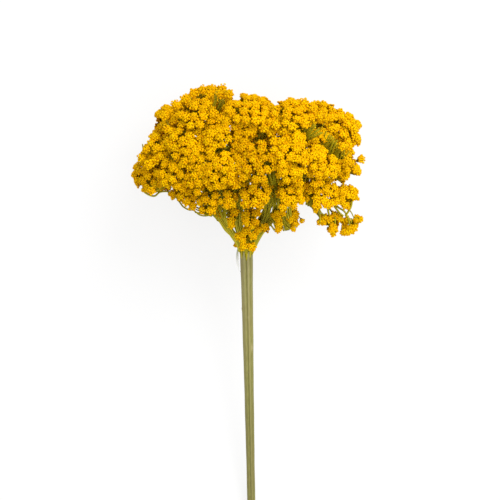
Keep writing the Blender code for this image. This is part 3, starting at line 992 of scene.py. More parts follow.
OPENINGS = tuple(Opening(*row) for row in (
    # straight through
    (-17.3, 48.0), (-11.4, 45.1), (-5.6, 45.6, 1.6), (-5.4, 33.4), (5.2, 37.5, 2.2),
    (10.5, 72.2, 1.2), (33.2, 83.4, 1.6), (34.4, 65.1, 1.8), (37.4, 60.9, 1.8), (35.5, 46.3),
    (31.7, 41.3), (39.4, 39.8, 2.4), (36.9, 35.0), (-9.3, 68.4, 1.7), (43.2, 39.4, 2.0),
    (31.0, 32.9, 3.2), (35.0, 42.4, 1.6),
    # notches in the outline, from the crown's right round to its left
    (9.6, 29.8, 2.6), (14.6, 31.0, 1.8), (22.4, 35.8, 2.0), (25.0, 38.2, 3.4), (25.0, 40.9, 3.2),
    (48.9, 34.5, 2.2), (46.6, 42.6, 2.6), (47.8, 49.4, 2.2), (43.5, 53.5, 2.8), (47.2, 53.4, 3.2),
    (38.2, 53.6, 2.3), (45.6, 62.6, 2.4), (45.9, 65.8, 2.8), (47.7, 75.3, 2.2), (46.0, 80.6, 2.2),
    (42.4, 83.4, 2.2), (38.8, 85.4, 2.6), (35.5, 87.2, 2.6), (32.0, 88.9, 2.3), (25.3, 88.5, 2.3),
    (21.0, 89.6, 2.6), (15.6, 88.4, 2.0), (12.4, 87.8, 2.4), (9.6, 88.2, 2.0), (1.0, 91.0, 2.4),
    (-4.8, 89.8, 2.6), (-13.6, 95.4, 2.4), (-19.8, 94.4, 2.0), (-25.4, 91.8, 2.6),
    (-40.2, 78.2, 2.8), (-43.4, 73.6, 3.1), (-45.6, 69.5, 3.2), (-38.0, 46.4, 1.3),
    (-35.8, 48.7, 1.6), (-32.8, 50.4, 1.0), (-33.8, 46.0, 2.6), (-31.8, 44.6, 2.6),
    (-29.0, 42.4, 2.6), (-26.4, 40.0, 2.3),
    # the long valley that climbs from the crown, right of the middle
    (10.6, 47.4, 2.4, 4, 92.0, 9.0), (10.9, 51.6, 2.3, 6, 95.0, 8.0),
    (9.6, 56.0, 2.6, 7, 105.0, 9.0), (8.0, 60.4, 2.0, 5, 110.0),
    # the narrow valleys left of the middle
    (-4.9, 48.6, 1.7, 4, 92.0, 8.0), (-12.4, 40.8, 2.4, 3, 110.0, 8.0),
    (-17.9, 41.2, 2.2, 5, 150.0),
    # under the top clusters
    (-8.3, 69.0, 2.6, 6, 60.0), (-12.0, 66.8, 2.3, 5, 40.0), (5.6, 72.6, 2.7, 7, 85.0, 9.0),
    (25.3, 74.0, 3.3, 8, 50.0), (29.0, 76.5, 2.0, 5, 60.0), (33.2, 68.6, 2.5, 6, 55.0),
    (36.0, 65.5, 2.0, 4, 65.0), (38.6, 63.0, 1.8, 4, 80.0), (41.8, 71.6, 1.9, 4, 60.0),
    (-12.3, 86.6, 2.5, 6, 80.0), (-13.5, 83.6, 1.6, 4, 70.0), (-20.5, 88.0, 1.5, 4, 20.0),
    (-41.5, 64.6, 2.1, 4, 80.0),
    # the right side's lower edge
    (15.3, 35.9, 1.9, 4, 100.0), (26.6, 44.8, 2.0, 5, 70.0, 5.0), (24.5, 51.4, 1.7, 4, 80.0),
    (38.0, 41.2, 1.8),
))


@dataclass(frozen=True)
class Bundle:
    """Thin stalks that run side by side, in one row or in two, one under the other.

    Its knots are x, y and the bundle's half width, as seen from straight above, in mm at half
    the flower's height, and the knot's own height. Its light is painted light, which makes the
    stalks paler where they lie in shade.
    """

    knots: tuple
    stalks: int
    rows: int = 2
    light: float = 0.0


BUNDLES = (
    # up the valley right of the middle, and to the left from the crown
    Bundle(((0.8, 22.0, 0.4, 29.5), (2.2, 25.6, 0.6, 32), (4.0, 29.8, 0.9, 36),
            (6.6, 33.9, 1.4, 41), (8.8, 38.2, 2.3, 47), (9.8, 42.5, 2.9, 51),
            (10.5, 47.5, 2.5, 55), (10.8, 52.0, 2.2, 58)), 9, 2, 0.40),
    Bundle(((-3.4, 23.6, 0.4, 30), (-4.8, 27.9, 0.8, 34), (-6.6, 30.9, 1.1, 38),
            (-8.4, 33.4, 1.3, 41), (-10.5, 36.3, 1.6, 44), (-11.5, 39.2, 2.2, 47),
            (-11.9, 41.7, 2.5, 49), (-12.4, 45.0, 2.6, 51)), 8, 2, 0.50),
    # between the columns of heads
    Bundle(((-2.4, 25.0, 0.5, 32), (-3.2, 31.0, 0.9, 38), (-4.1, 36.5, 1.3, 44),
            (-3.6, 40.5, 1.1, 48), (-4.4, 44.5, 1.2, 51), (-5.0, 48.8, 1.7, 54),
            (-5.2, 52.0, 1.4, 57)), 5, 2, 0.35),
    Bundle(((0.3, 26.0, 0.7, 33), (0.0, 29.5, 1.0, 37), (0.5, 33.5, 0.7, 41),
            (0.8, 39.0, 0.8, 48), (0.8, 42.5, 0.9, 52), (0.6, 46.0, 0.8, 55)), 3, 2, 0.25),
    # to the heads that stand apart on the right
    Bundle(((8.6, 37.0, 0.9, 46), (10.0, 36.4, 1.5, 47), (10.8, 34.6, 1.4, 46),
            (11.6, 32.6, 0.7, 45)), 5, 1, 0.25),
    Bundle(((11.5, 43.0, 1.2, 50), (13.6, 39.8, 1.3, 49), (14.9, 37.5, 1.6, 48),
            (16.2, 35.3, 1.5, 46.5), (17.6, 33.2, 0.3, 45)), 6, 2, 0.25),
    Bundle(((15.6, 46.0, 1.0, 53), (16.4, 42.6, 1.2, 51), (16.6, 39.6, 1.2, 50),
            (17.2, 37.2, 0.8, 49)), 4, 1, 0.25),
)


@dataclass(frozen=True)
class Placed:
    """A flower head with a place of its own, as seen from straight above.

    Its place is in mm at half the flower's height; its tone is 0 for a fresh head, and above it
    the head is browner and darker, partly for older florets and partly as painted shade where it
    lies in shade.
    """

    x: float
    y: float
    size: float
    tone: float = 0.0


# the areas where all heads have places of their own: left, low, right, high, in mm
LOOSE_AREAS = ((-12.3, 21.7, 22.8, 46.3), (26.5, 28.4, 49.9, 48.0))

PLACED = tuple(Placed(*row) for row in (
    # on the outline, left to right
    (-37.8, 81.0, 0.8, 0.2), (-32.8, 82.6, 0.9, 0.2), (-29.2, 84.8, 0.9, 0.2),
    (5.4, 87.0, 0.9, 0.2), (19.6, 85.6, 1.0), (31.0, 85.4, 1.0), (45.0, 71.6, 1.0),
    (-6.6, 43.2, 0.8, 0.3),
    # the columns that climb from the crown
    (-8.9, 47.8, 1.04), (-8.9, 44.8, 1.04), (-9.1, 42.5, 0.84), (-5.8, 40.5, 1.14),
    (-7.3, 36.5, 1.04, 0.3), (-7.3, 34.4, 0.88, 0.3), (-4.6, 30.2, 0.88), (-2.6, 30.7, 0.94),
    (-2.6, 28.2, 0.84, 0.2), (-2.2, 25.5, 1.04, 0.2), (1.6, 25.3, 1.04, 0.3),
    (-1.0, 35.5, 0.94, 0.2), (-0.9, 32.7, 0.98, 0.2), (1.5, 33.6, 0.62, 0.3),
    (2.3, 30.2, 1.04, 0.4), (3.8, 32.5, 0.84, 1.1), (7.0, 34.0, 1.04, 0.9), (2.7, 36.1, 0.88, 0.7),
    (-1.3, 39.3, 1.04, 0.6), (-1.6, 37.0, 0.88, 0.5), (-1.6, 43.2, 1.14, 1.2),
    (-1.4, 46.7, 1.04, 1.1), (2.7, 44.0, 1.2, 0.6), (3.4, 40.3, 1.1, 1.3), (7.2, 45.7, 1.2, 0.6),
    (14.3, 42.3, 0.98), (14.5, 39.8, 0.94), (19.3, 42.4, 0.94), (19.3, 39.8, 0.94),
    (15.0, 46.3, 1.14), (18.7, 45.6, 0.94), (22.3, 45.3, 1.14), (17.8, 37.2, 0.98),
    (19.6, 34.9, 0.84), (18.9, 33.0, 0.68, 0.1), (12.0, 39.5, 0.78, 0.2), (12.8, 37.1, 0.88, 0.1),
    (12.8, 34.7, 0.88, 0.1), (12.4, 32.5, 0.84, 0.2), (10.3, 38.8, 0.62, 0.8), (16.3, 43.8, 0.72),
    (-11.6, 44.6, 0.72, 0.2), (5.2, 42.6, 0.8, 0.8), (20.2, 38.2, 0.7),
    # the group that hangs under the right side
    (28.6, 43.0, 1.04, 0.1), (28.0, 40.5, 0.62, 0.2), (28.2, 45.9, 1.04), (31.5, 45.3, 1.14, 0.1),
    (32.8, 43.3, 0.84, 0.2), (34.9, 43.8, 1.04, 0.2), (34.0, 47.8, 0.94), (37.1, 44.8, 1.04),
    (39.0, 46.7, 1.04), (36.7, 47.6, 0.72), (42.1, 47.8, 1.14), (44.4, 46.8, 1.04),
    (39.3, 44.5, 0.94, 0.1), (46.1, 45.5, 0.46), (40.8, 42.8, 0.94, 0.1), (42.0, 41.5, 0.62, 0.2),
    (31.5, 37.5, 1.04), (34.0, 38.1, 1.1), (30.1, 35.9, 0.84, 0.2), (31.4, 35.5, 0.68, 0.2),
    (36.5, 39.3, 0.94), (38.4, 37.8, 1.04, 0.1), (39.6, 35.9, 1.04, 0.1), (40.8, 37.0, 0.84, 0.1),
    (35.7, 34.2, 0.88, 0.4), (35.1, 32.3, 0.84, 0.3), (35.6, 30.9, 0.78, 0.3),
    (34.0, 32.0, 0.52, 0.4), (36.9, 32.1, 0.62, 0.3), (39.3, 33.1, 0.94, 0.2),
    (39.5, 31.2, 0.84, 0.2), (41.5, 31.6, 0.94, 0.2), (43.8, 33.0, 1.04, 0.2),
    (44.7, 34.0, 0.72, 0.1), (42.2, 33.8, 0.62, 0.6), (45.8, 38.0, 0.84, 0.1),
    (44.9, 36.7, 0.62, 0.4),
))


# painted shade and painted light by cluster: how much darker and browner than chance its florets
# are painted where it lies in shade, most in the middle, and below 0 how much brighter on the
# lit ridges at the right
CLUSTER_PAINTED_SHADE = {
    "cluster_middle_small": 0.95, "cluster_front_middle": 0.85, "cluster_front_low": 0.50,
    "cluster_middle_nook": 0.50, "cluster_front_column": 0.40, "cluster_low_middle": 0.40,
    "cluster_left_cheek": 0.05, "cluster_left_skirt": 0.10, "cluster_crown_right": 0.10,
    "cluster_right_ridge": -0.40, "cluster_right_slope": -0.40, "cluster_right_shoulder": -0.30,
    "cluster_front_right": -0.25, "cluster_right_skirt": -0.25,
}
# how far the heads of a cluster spread over the edge of its dome, in mm
GROWTH = {"cluster_crest_left": 1.8, "cluster_left_corner": 1.0, "cluster_right_corner": 0.6}

# directions to look from, and how close two heads may be there, in mm
VIEWS = (
    ((0.0, 0.0, 1.0), 2.75), ((0.0, 0.0, -1.0), 3.5), ((1.0, 0.0, 0.0), 3.5),
    ((-1.0, 0.0, 0.0), 3.5), ((0.0, 1.0, 0.0), 3.5),
)


def millimetres(*sizes: float) -> Array:
    """A dataclass field that holds sizes given in millimetres."""
    return field(default_factory=lambda: np.array(sizes) * MM)


@dataclass
class Plan:
    """Where the crown, the branches and the domes are, measured on the model's own stem.

    Its places are the drawn ones, and its shift is how far the model lies off the drawing. The
    flower's own curve is an ellipsoid with the head's centre and half sizes. The eye looks
    straight down, and openings and placed heads are given in a window at half the flower's
    height, as the eye sees them.
    """

    stem: bpy.types.Object
    stem_cut_y: float = -95.5 * MM
    stem_cut_x: float = 1.4 * MM
    stem_cut_radius: float = 1.75 * MM
    crown_y: float = 23.0 * MM
    crown_x: float = -0.9 * MM
    crown_radius: float = 2.75 * MM
    crown_rim: float = 0.3 * MM
    touch_gap: float = 0.3 * MM
    branch_ring: float = 2.0 * MM
    head_centre: Array = millimetres(0.0, 61.0, 36.5)
    head_half: Array = millimetres(46.0, 33.0, 32.0)
    pressed: float = 2.0
    hub_rise: float = 8.0 * MM
    under_face: float = 0.2
    dome_rise: float = 0.60
    dome_fall: float = 0.42
    stalk_lean: float = 0.38
    eye: Array = millimetres(0.66, 24.2, 1000.0)
    window_height: float = 50.0 * MM
    over_head: float = 110.0 * MM
    through_head: float = 36.0 * MM
    under_through: float = 6.0 * MM
    placed_room: float = 1.4

    def __post_init__(self) -> None:
        """Measure the crown on the model's stem."""
        foot_z = self.stem_cut_radius * math.cos(STEM_SLOPE)
        climb = (self.crown_y - self.stem_cut_y) * math.tan(STEM_SLOPE)
        drawn = np.array([self.crown_x, self.crown_y, foot_z + climb])
        places = np.array([vertex.co for vertex in self.stem.data.vertices])
        along = places @ STEM_LINE
        rim = places[along > along.max() - self.crown_rim]
        self.shift = rim.mean(0) - drawn
        self.shift[2] = 0.0
        self.crown = drawn + self.shift
        LOG.info("the plan lies %s mm off the model's origin", np.round(self.shift / MM, 2))
        self.cut = np.array([self.stem_cut_x, self.stem_cut_y, foot_z]) + self.shift
        self.domes = {cluster.name: self.dome_tree(cluster) for cluster in CLUSTERS}

    def branch_curve(self, branch: Branch) -> list[Array]:
        """The control points of a main branch.

        Args:
            branch: the branch.

        Returns:
            Four points, from the crown outwards.
        """
        foot = self.crown + STEM_LINE * self.touch_gap
        if branch.foot_turn is not None:
            turn = math.radians(branch.foot_turn)
            foot = foot + (RIGHT * math.cos(turn) + FRONT * math.sin(turn)) * self.branch_ring
        end = (self.crown + RIGHT * branch.side * MM + STEM_LINE * branch.rise * MM
               + FRONT * branch.front * MM)
        reach = np.linalg.norm(end - foot)
        return [foot, foot + STEM_LINE * reach * branch.bend, foot + (end - foot) * 0.62, end]

    def dome(self, cluster: Cluster) -> tuple[Array, Array, Array, Array]:
        """A dome's centre, and its directions.

        Args:
            cluster: the dome's cluster.

        Returns:
            The centre, and the directions across, along and out.
        """
        x, y = cluster.x * MM, cluster.y * MM
        spread = (((x - self.head_centre[0]) / self.head_half[0]) ** 2
                  + ((y - self.head_centre[1]) / self.head_half[1]) ** 2)
        spread **= self.pressed if cluster.under else 1.0
        lift = self.head_half[2] * math.sqrt(max(0.0, 1.0 - spread)) - cluster.sink * MM
        height = self.head_centre[2] + (-lift if cluster.under else lift)
        centre = np.array([x, y, height]) + self.shift
        out = unit(centre - self.crown - STEM_LINE * self.hub_rise)
        out = unit(out + FRONT * (-self.under_face if cluster.under else cluster.face))
        across = unit(np.cross(STEM_LINE, out))
        return centre, across, np.cross(out, across), out

    def heights(self, cluster: Cluster) -> tuple[float, float]:
        """How far a dome reaches over and under its centre."""
        mean = (cluster.wide + cluster.tall) / 2.0 * MM
        return mean * self.dome_rise, mean * self.dome_fall

    def dome_tree(self, cluster: Cluster) -> BVHTree:
        """The faces of a cluster's dome in the model."""
        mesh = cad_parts[cluster.name].data
        return BVHTree.FromPolygons(
            [vertex.co.copy() for vertex in mesh.vertices],
            [tuple(polygon.vertices) for polygon in mesh.polygons],
        )

    def first_dome(self, start: Array, way: Array) -> tuple[Array, Array] | None:
        """The first place of any dome that a ray meets.

        Args:
            start: where the ray starts.
            way: where it goes.

        Returns:
            The place and the direction out of the dome there, or nothing.
        """
        found = None
        for dome in self.domes.values():
            place, normal, _, far = dome.ray_cast(Vector(start), Vector(way))
            if place is not None and (found is None or far < found[0]):
                found = (far, np.array(place), np.array(normal))
        return found[1:] if found else None

    def from_above(self, point: Array) -> Array:
        """Where a point is seen in the openings' own plane, from straight above."""
        way = point - self.shift - self.eye
        return (self.eye + way * (self.window_height - self.eye[2]) / way[2])[:2]

    def in_opening(self, point: Array, through: bool = False, room: float = 0.0) -> bool:
        """Whether a point is in an opening, as seen from straight above.

        Args:
            point: the point.
            through: whether only the openings without stalks count.
            room: how far round an opening still counts, in mm.

        Returns:
            Whether it is.
        """
        place = self.from_above(point) / MM
        for opening in OPENINGS:
            if opening.stalks and (through or point[2] < self.window_height * 0.5):
                continue
            if math.hypot(place[0] - opening.x, place[1] - opening.y) < opening.radius + room:
                return True
        return False

    def in_loose_area(self, point: Array, behind: bool) -> bool:
        """Whether a point is where every head has its own place.

        Args:
            point: the point.
            behind: whether the points straight behind such a head are left out.

        Returns:
            Whether it is.
        """
        x, y = self.from_above(point) / MM
        if not any(a < x < c and b < y < d for a, b, c, d in LOOSE_AREAS):
            return False
        near = min(math.hypot(x - head.x, y - head.y) for head in PLACED)
        return not (behind and near < self.placed_room)

    def surface(self, x: float, y: float, sunk: float) -> tuple[Array, Array]:
        """The flower's surface at a place seen from straight above, and the direction out of it.

        Args:
            x: the place, in mm at half the flower's height.
            y: the same, along the flower.
            sunk: how far under the flower's own curve the surface lies between the domes.

        Returns:
            The point and the direction.
        """
        top, low = (self.under_eye(x, y, z) for z in (self.over_head, self.through_head))
        found = self.first_dome(top, unit(low - top))
        if found is not None and found[0][2] > low[2] - self.under_through:
            return found
        away = (low - self.head_centre - self.shift) / self.head_half
        rise = math.sqrt(max(0.0, 1.0 - away[0] ** 2 - away[1] ** 2))
        height = self.head_centre[2] + self.head_half[2] * rise - sunk
        return self.under_eye(x, y, height), np.array([0.0, 0.0, 1.0])

    def under_eye(self, x: float, y: float, height: float) -> Array:
        """The point at a height that is seen at a place of the openings' own plane."""
        way = np.array([x * MM, y * MM, self.window_height]) - self.eye
        return self.eye + way * (height - self.eye[2]) / way[2] + self.shift

    def stalk_curve(self, cluster: Cluster) -> list[Array]:
        """The control points of a cluster's stalk, from inside its branch to under its dome.

        Args:
            cluster: the cluster.

        Returns:
            Four points, from the branch outwards.
        """
        branch = next(branch for branch in BRANCHES if branch.name == cluster.branch)
        a, b, c, d = self.branch_curve(branch)
        t = cluster.fork
        s = 1.0 - t
        start = a * s**3 + b * 3 * s * s * t + c * 3 * s * t * t + d * t**3
        way = unit((b - a) * s * s + (c - b) * 2 * s * t + (d - c) * t * t)
        centre, _, _, out = self.dome(cluster)
        end = centre - out * (self.heights(cluster)[1] + self.touch_gap)
        lean = np.linalg.norm(end - start) * self.stalk_lean
        return [start, start + way * lean, end - out * lean, end]


# ---------------------------------------------------------------- the corymbs


@dataclass(frozen=True)
class Seat:
    """Where a head sits: a place, the direction out of its cluster, and what is its own."""

    point: Array
    normal: Array
    inner: bool = False
    size: float = 0.0
    tone: float = 0.0


@dataclass
class Corymbs:
    """Every cluster as a corymb of flower heads on pedicels.

    The heads find their seats in four rounds: those with places of their own, then the domes and
    a deeper layer under them, then what is seen from each side, and last the deep plugs that hide
    the table from above.
    """

    plan: Plan
    finishes: list[bpy.types.Material]
    seed: int = 26
    patterns: int = 9
    # heads on a dome and under it, and how far from another dome they stay
    tries: int = 900
    lowest: float = -0.75
    nearest: float = 3.45 * MM
    inner_nearest: float = 3.75 * MM
    inner_depth: float = 3.0 * MM
    placed_depth: float = 3.0 * MM
    inset: float = 0.9 * MM
    off_dome: float = 0.2 * MM
    cover: float = 2.4 * MM
    together: float = 0.50
    # heads seen from one side: rays over a square, in mm, that stop at a curve inside the domes
    search_half: float = 52.0
    search_middle: float = 60.0
    far: float = 90.0 * MM
    view_step: float = 1.5 * MM
    view_inset: float = 0.6 * MM
    filling_depth: float = 4.8 * MM
    filling_low: float = 45.0 * MM
    squeezed: float = 0.35
    # deep plugs, and the double cone that stands for a head while gaps are looked for
    plug_step: float = 0.6 * MM
    plug_room: float = 2.3 * MM
    plug_reach: float = 6.5 * MM
    plug_angle: float = 2.8
    plug_depth: float = 3.0 * MM
    plug_deeper: float = 9.0 * MM
    plug_opening: float = 0.6
    cone_sides: int = 8
    cone_radius: float = 2.25 * MM
    cone_turned: float = 0.6
    cone_rise: float = 0.9 * MM
    cone_fall: float = 1.6 * MM
    # how a head sits, leans and is coloured; near the crown heads are smaller, far from
    # it they are browner and their painted light and shade are more even
    sunk: float = 1.0 * MM
    upturn: float = 0.32
    facing: float = 0.22
    placed_tone: float = -0.2
    loose_from: float = 66.0 * MM
    loose_over: float = 14.0 * MM
    loosened: float = 0.10
    even_from: float = 72.0 * MM
    evened: float = 0.40
    far_browning: float = 0.8
    # pedicels, which leave the last part of the stalk and fork in groups
    group: int = 5
    fork: float = 0.55
    stalk_steps: int = 20
    grouping_rounds: int = 6

    def build(self) -> list[bpy.types.Object]:
        """Make one piece of flower heads and one of pedicels for each cluster.

        Returns:
            The pieces.
        """
        rng = np.random.default_rng(self.seed)
        patterns = [
            [FlowerHead().build(rng) for _ in range(self.patterns)],
            [FlowerHead(florets=14, first_tube=14, bare=True).build(rng)
             for _ in range(self.patterns)],
        ]
        spots = {cluster.name: self.spots(cluster) for cluster in CLUSTERS}
        seats: dict[str, list[Seat]] = {cluster.name: [] for cluster in CLUSTERS}
        centres = np.array([self.plan.dome(cluster)[0] for cluster in CLUSTERS])
        taken = np.zeros((0, 3))
        for head in PLACED:
            point, normal = self.plan.surface(head.x, head.y, self.placed_depth)
            near = int(np.argmin(np.linalg.norm(centres - point, axis=1)))
            seats[CLUSTERS[near].name].append(
                Seat(point, unit(normal * 0.6 + FRONT * 0.7), False, head.size, head.tone))
            taken = np.vstack([taken, point])
        for depth, nearest in ((0.0, self.nearest), (self.inner_depth, self.inner_nearest)):
            for name, (points, normals) in spots.items():
                sunk = points - normals * depth
                for k in self.spread(sunk, taken, nearest, rng):
                    seats[name].append(Seat(sunk[k], normals[k], depth > 0.0))
                    taken = np.vstack([taken, sunk[k]])
            LOG.info("%d flower heads", len(taken))
        for way, nearest in VIEWS:
            points, normals, inner = self.uncovered(np.array(way))
            squeeze = np.eye(3) - (1.0 - self.squeezed) * np.outer(way, way)
            for k in self.spread(points @ squeeze, taken @ squeeze, nearest * MM, rng):
                near = int(np.argmin(np.linalg.norm(centres - points[k], axis=1)))
                seats[CLUSTERS[near].name].append(Seat(points[k], normals[k], inner[k]))
                taken = np.vstack([taken, points[k]])
            LOG.info("%d flower heads with those seen from %s", len(taken), way)
        for point in self.plugs(seats, taken, rng):
            near = int(np.argmin(np.linalg.norm(centres - point, axis=1)))
            seats[CLUSTERS[near].name].append(Seat(point, unit(FRONT + STEM_LINE * 0.3), True))
            taken = np.vstack([taken, point])
        LOG.info("%d flower heads in all", len(taken))
        pieces = []
        for cluster in CLUSTERS:
            heads, ends = self.heads(cluster, seats[cluster.name], patterns, rng)
            piece = heads.to_piece(
                cluster.name.replace("cluster", "flowers"), "flower_heads", self.finishes
            )
            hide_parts(cluster.name)
            pieces.append(piece)
            pieces.append(
                self.pedicels(cluster, ends, rng).to_piece(
                    cluster.name.replace("cluster", "pedicels"), "stalks", self.finishes
                )
            )
        return pieces

    def spots(self, cluster: Cluster) -> tuple[Array, Array]:
        """The open places of a cluster's dome, where a head could sit.

        Args:
            cluster: the cluster.

        Returns:
            Points close together and the directions straight out of the dome there.
        """
        centre, across, along, out = self.plan.dome(cluster)
        axes = np.stack([across, along, out])
        rise, fall = self.plan.heights(cluster)
        domes = self.plan.domes
        others = [dome for name, dome in domes.items() if name != cluster.name]
        points, normals = [], []
        for k in range(self.tries):
            z = 1.0 - (k + 0.5) / self.tries * (1.0 - self.lowest)
            turn = k * GOLDEN_TURN
            flat = math.sqrt(1.0 - z * z)
            own = np.array([flat * math.cos(turn), flat * math.sin(turn), z])
            half = np.array([cluster.wide * MM, cluster.tall * MM, rise if z > 0.0 else fall])
            way = unit((own * half) @ axes)
            hit = domes[cluster.name].ray_cast(Vector(centre), Vector(way))[0]
            if hit is None:
                continue
            normal = unit((own / half) @ axes)
            start = Vector(np.array(hit) + normal * self.off_dome)
            if any(dome.ray_cast(start, Vector(normal), self.cover)[0] for dome in others):
                continue
            inset = self.inset - GROWTH.get(cluster.name, 0.0) * MM
            point = np.array(hit) - (way - out * way.dot(out)) * inset
            loose = self.plan.in_loose_area(point, behind=normal[2] < 0.2)
            if not loose and not self.plan.in_opening(point):
                points.append(point)
                normals.append(unit(normal + out * self.together))
        return np.array(points), np.array(normals)

    def uncovered(self, way: Array) -> tuple[Array, Array, list[bool]]:
        """The places that are seen from one side: on the domes, and deeper between them.

        Args:
            way: the direction towards the viewer.

        Returns:
            Points a little inside, the directions straight out there, and which are deep.
        """
        turned = frame_about(way, 0.0)
        middle = self.plan.head_centre + self.plan.shift
        half = self.plan.head_half - self.filling_depth
        steps = np.arange(-self.search_half, self.search_half, self.view_step / MM) * MM
        points, normals, inner = [], [], []
        for across in steps:
            for along in steps:
                start = turned @ np.array([across, along, self.far])
                found = self.plan.first_dome(start + middle, -way)
                a, b = (way / half).dot(way / half), (way / half).dot(start / half)
                root = b * b - a * ((start / half).dot(start / half) - 1.0)
                deep = start - way * (b - math.sqrt(root)) / a if root > 0.0 else None
                low = deep is None or (middle + deep - self.plan.shift)[1] < self.filling_low
                if found is not None and (low or (found[0] - middle - deep).dot(way) > 0.0):
                    place, normal = found
                    point = place - (normal - way * normal.dot(way)) * self.view_inset
                elif low:
                    continue
                else:
                    found, normal, point = None, unit(deep / half**2), middle + deep
                loose = self.plan.in_loose_area(point, behind=way[2] < 0.5)
                if not loose and not self.plan.in_opening(point):
                    points.append(point)
                    normals.append(unit(normal + way * 0.35))
                    inner.append(found is None)
        return np.array(points), np.array(normals), inner

    def plugs(self, seats: dict[str, list[Seat]], taken: Array,
              rng: np.random.Generator) -> list[Array]:
        """Places for deep heads where the table would show between the others from above.

        Args:
            seats: the clusters' heads so far.
            taken: the places of all of them.
            rng: the source of chance.

        Returns:
            The places.
        """
        cover = self.cover_tree(seats)
        eye = self.plan.eye + self.plan.shift
        seen = np.array([self.plan.from_above(point) for point in taken])
        steps = np.arange(-self.search_half, self.search_half, self.plug_step / MM)
        places = np.array([(x, y) for x in steps for y in steps + self.search_middle])
        rng.shuffle(places)
        made = []
        for place in places:
            low = self.plan.under_eye(place[0], place[1], 0.0)
            if cover.ray_cast(Vector(eye), Vector(unit(low - eye)))[0] is not None:
                continue
            room = np.linalg.norm(seen - place * MM, axis=1)
            close = room < self.plug_reach
            if close.sum() < 3 or any(math.dist(place, other) < self.plug_room / MM
                                      for other, _ in made):
                continue
            spread = seen[close] - place * MM
            turns = np.sort(np.arctan2(spread[:, 1], spread[:, 0]))
            if np.diff(np.append(turns, turns[0] + 2.0 * math.pi)).max() > self.plug_angle:
                continue
            height = taken[close][:, 2].max() - self.plug_depth
            point = self.plan.under_eye(place[0], place[1], height)
            if self.plan.in_loose_area(point, behind=False):
                continue
            if self.plan.in_opening(point, room=self.plug_opening):
                point = self.plan.under_eye(place[0], place[1], height - self.plug_deeper)
                if self.plan.in_opening(point, through=True, room=self.plug_opening):
                    continue
            made.append((place, point))
        return [point for _, point in made]

    def cover_tree(self, seats: dict[str, list[Seat]]) -> BVHTree:
        """What the heads cover, each as a plain double cone about as wide as its florets.

        Args:
            seats: the clusters' heads so far.

        Returns:
            The cones, for rays to be cast at.
        """
        sides = self.cone_sides
        points, faces = [], []
        for cluster in CLUSTERS:
            for seat in seats[cluster.name]:
                lean = self.lean(cluster, seat.normal)
                at = seat.point - lean * self.sunk
                turn = frame_about(lean, 0.0)
                start = len(points)
                radius = self.cone_radius * (1.0 if lean[2] > 0.0 else self.cone_turned)
                for k in range(sides):
                    way = 2.0 * math.pi * k / sides
                    rim = np.array([math.cos(way), math.sin(way), 0.0])
                    points.append(at + turn @ rim * radius)
                points += [at + lean * self.cone_rise, at - lean * self.cone_fall]
                top, low = start + sides, start + sides + 1
                for k in range(sides):
                    here, after = start + k, start + (k + 1) % sides
                    faces += [(here, after, top), (after, here, low)]
        return BVHTree.FromPolygons([Vector(point) for point in points], faces)

    def lean(self, cluster: Cluster, normal: Array) -> Array:
        """The way a head faces, from the direction straight out of its cluster."""
        forward = FRONT * (-0.3 if cluster.under else 1.0) * self.facing
        return unit(normal + STEM_LINE * self.upturn + forward)

    def spread(self, points: Array, taken: Array, nearest: float,
               rng: np.random.Generator) -> list[int]:
        """Choose points one by one, each as far as it can be from all those before.

        Args:
            points: the places to choose from.
            taken: the places that are already in use.
            nearest: how close two may be.
            rng: the source of chance.

        Returns:
            The chosen points' numbers.
        """
        room = np.full(len(points), 10.0 * nearest)
        for other in taken:
            room = np.minimum(room, np.linalg.norm(points - other, axis=1))
        chosen = []
        while len(room) and room.max() > nearest:
            free = np.flatnonzero(room > nearest)
            tight = free[np.argsort(room[free])[: max(1, len(free) // 12)]]
            k = int(rng.choice(tight))
            room = np.minimum(room, np.linalg.norm(points - points[k], axis=1))
            chosen.append(k)
        return chosen

    def heads(self, cluster: Cluster, seats: list[Seat], patterns: list[list[Form]],
              rng: np.random.Generator) -> tuple[Form, list[tuple[Array, Array]]]:
        """The cluster's flower heads, and where their pedicels end.

        Args:
            cluster: the cluster.
            seats: its heads' places.
            patterns: the ready-made heads, first the whole ones and then the bare ones.
            rng: the source of chance.

        Returns:
            The heads as one form, and each pedicel's end with the way its head faces.
        """
        # a cluster's chance of older florets, plus its painted shade (painted light where below 0)
        tone = rng.uniform(0.0, 0.25) + CLUSTER_PAINTED_SHADE.get(cluster.name, 0.0)
        forms, ends = [], []
        for seat in seats:
            loose = min(max((self.loose_from - seat.point[1]) / self.loose_over, 0.0), 1.0)
            size = seat.size or rng.uniform(0.98, 1.22) * (1.0 - self.loosened * loose)
            lean = unit(self.lean(cluster, seat.normal) + rng.normal(0.0, 0.10, 3))
            at = seat.point - lean * (self.sunk * size + abs(rng.normal(0.0, 0.35)) * MM)
            at[2] = max(at[2], FlowerHead.reach * size * 0.8)
            turn = frame_about(lean, rng.uniform(0.0, 6.3))
            pattern = patterns[int(seat.inner)][int(rng.integers(self.patterns))]
            own = seat.tone + self.placed_tone if seat.size else tone + rng.uniform(-0.2, 0.35)
            even = self.evened * min(max((at[1] - self.even_from) / self.loose_over, 0.0), 1.0)
            forms.append(pattern.placed(turn, at, size, own + self.far_browning * even, even))
            ends.append((at - lean * FlowerHead.depth * size * 0.96, lean))
        return Form.joined(forms), ends

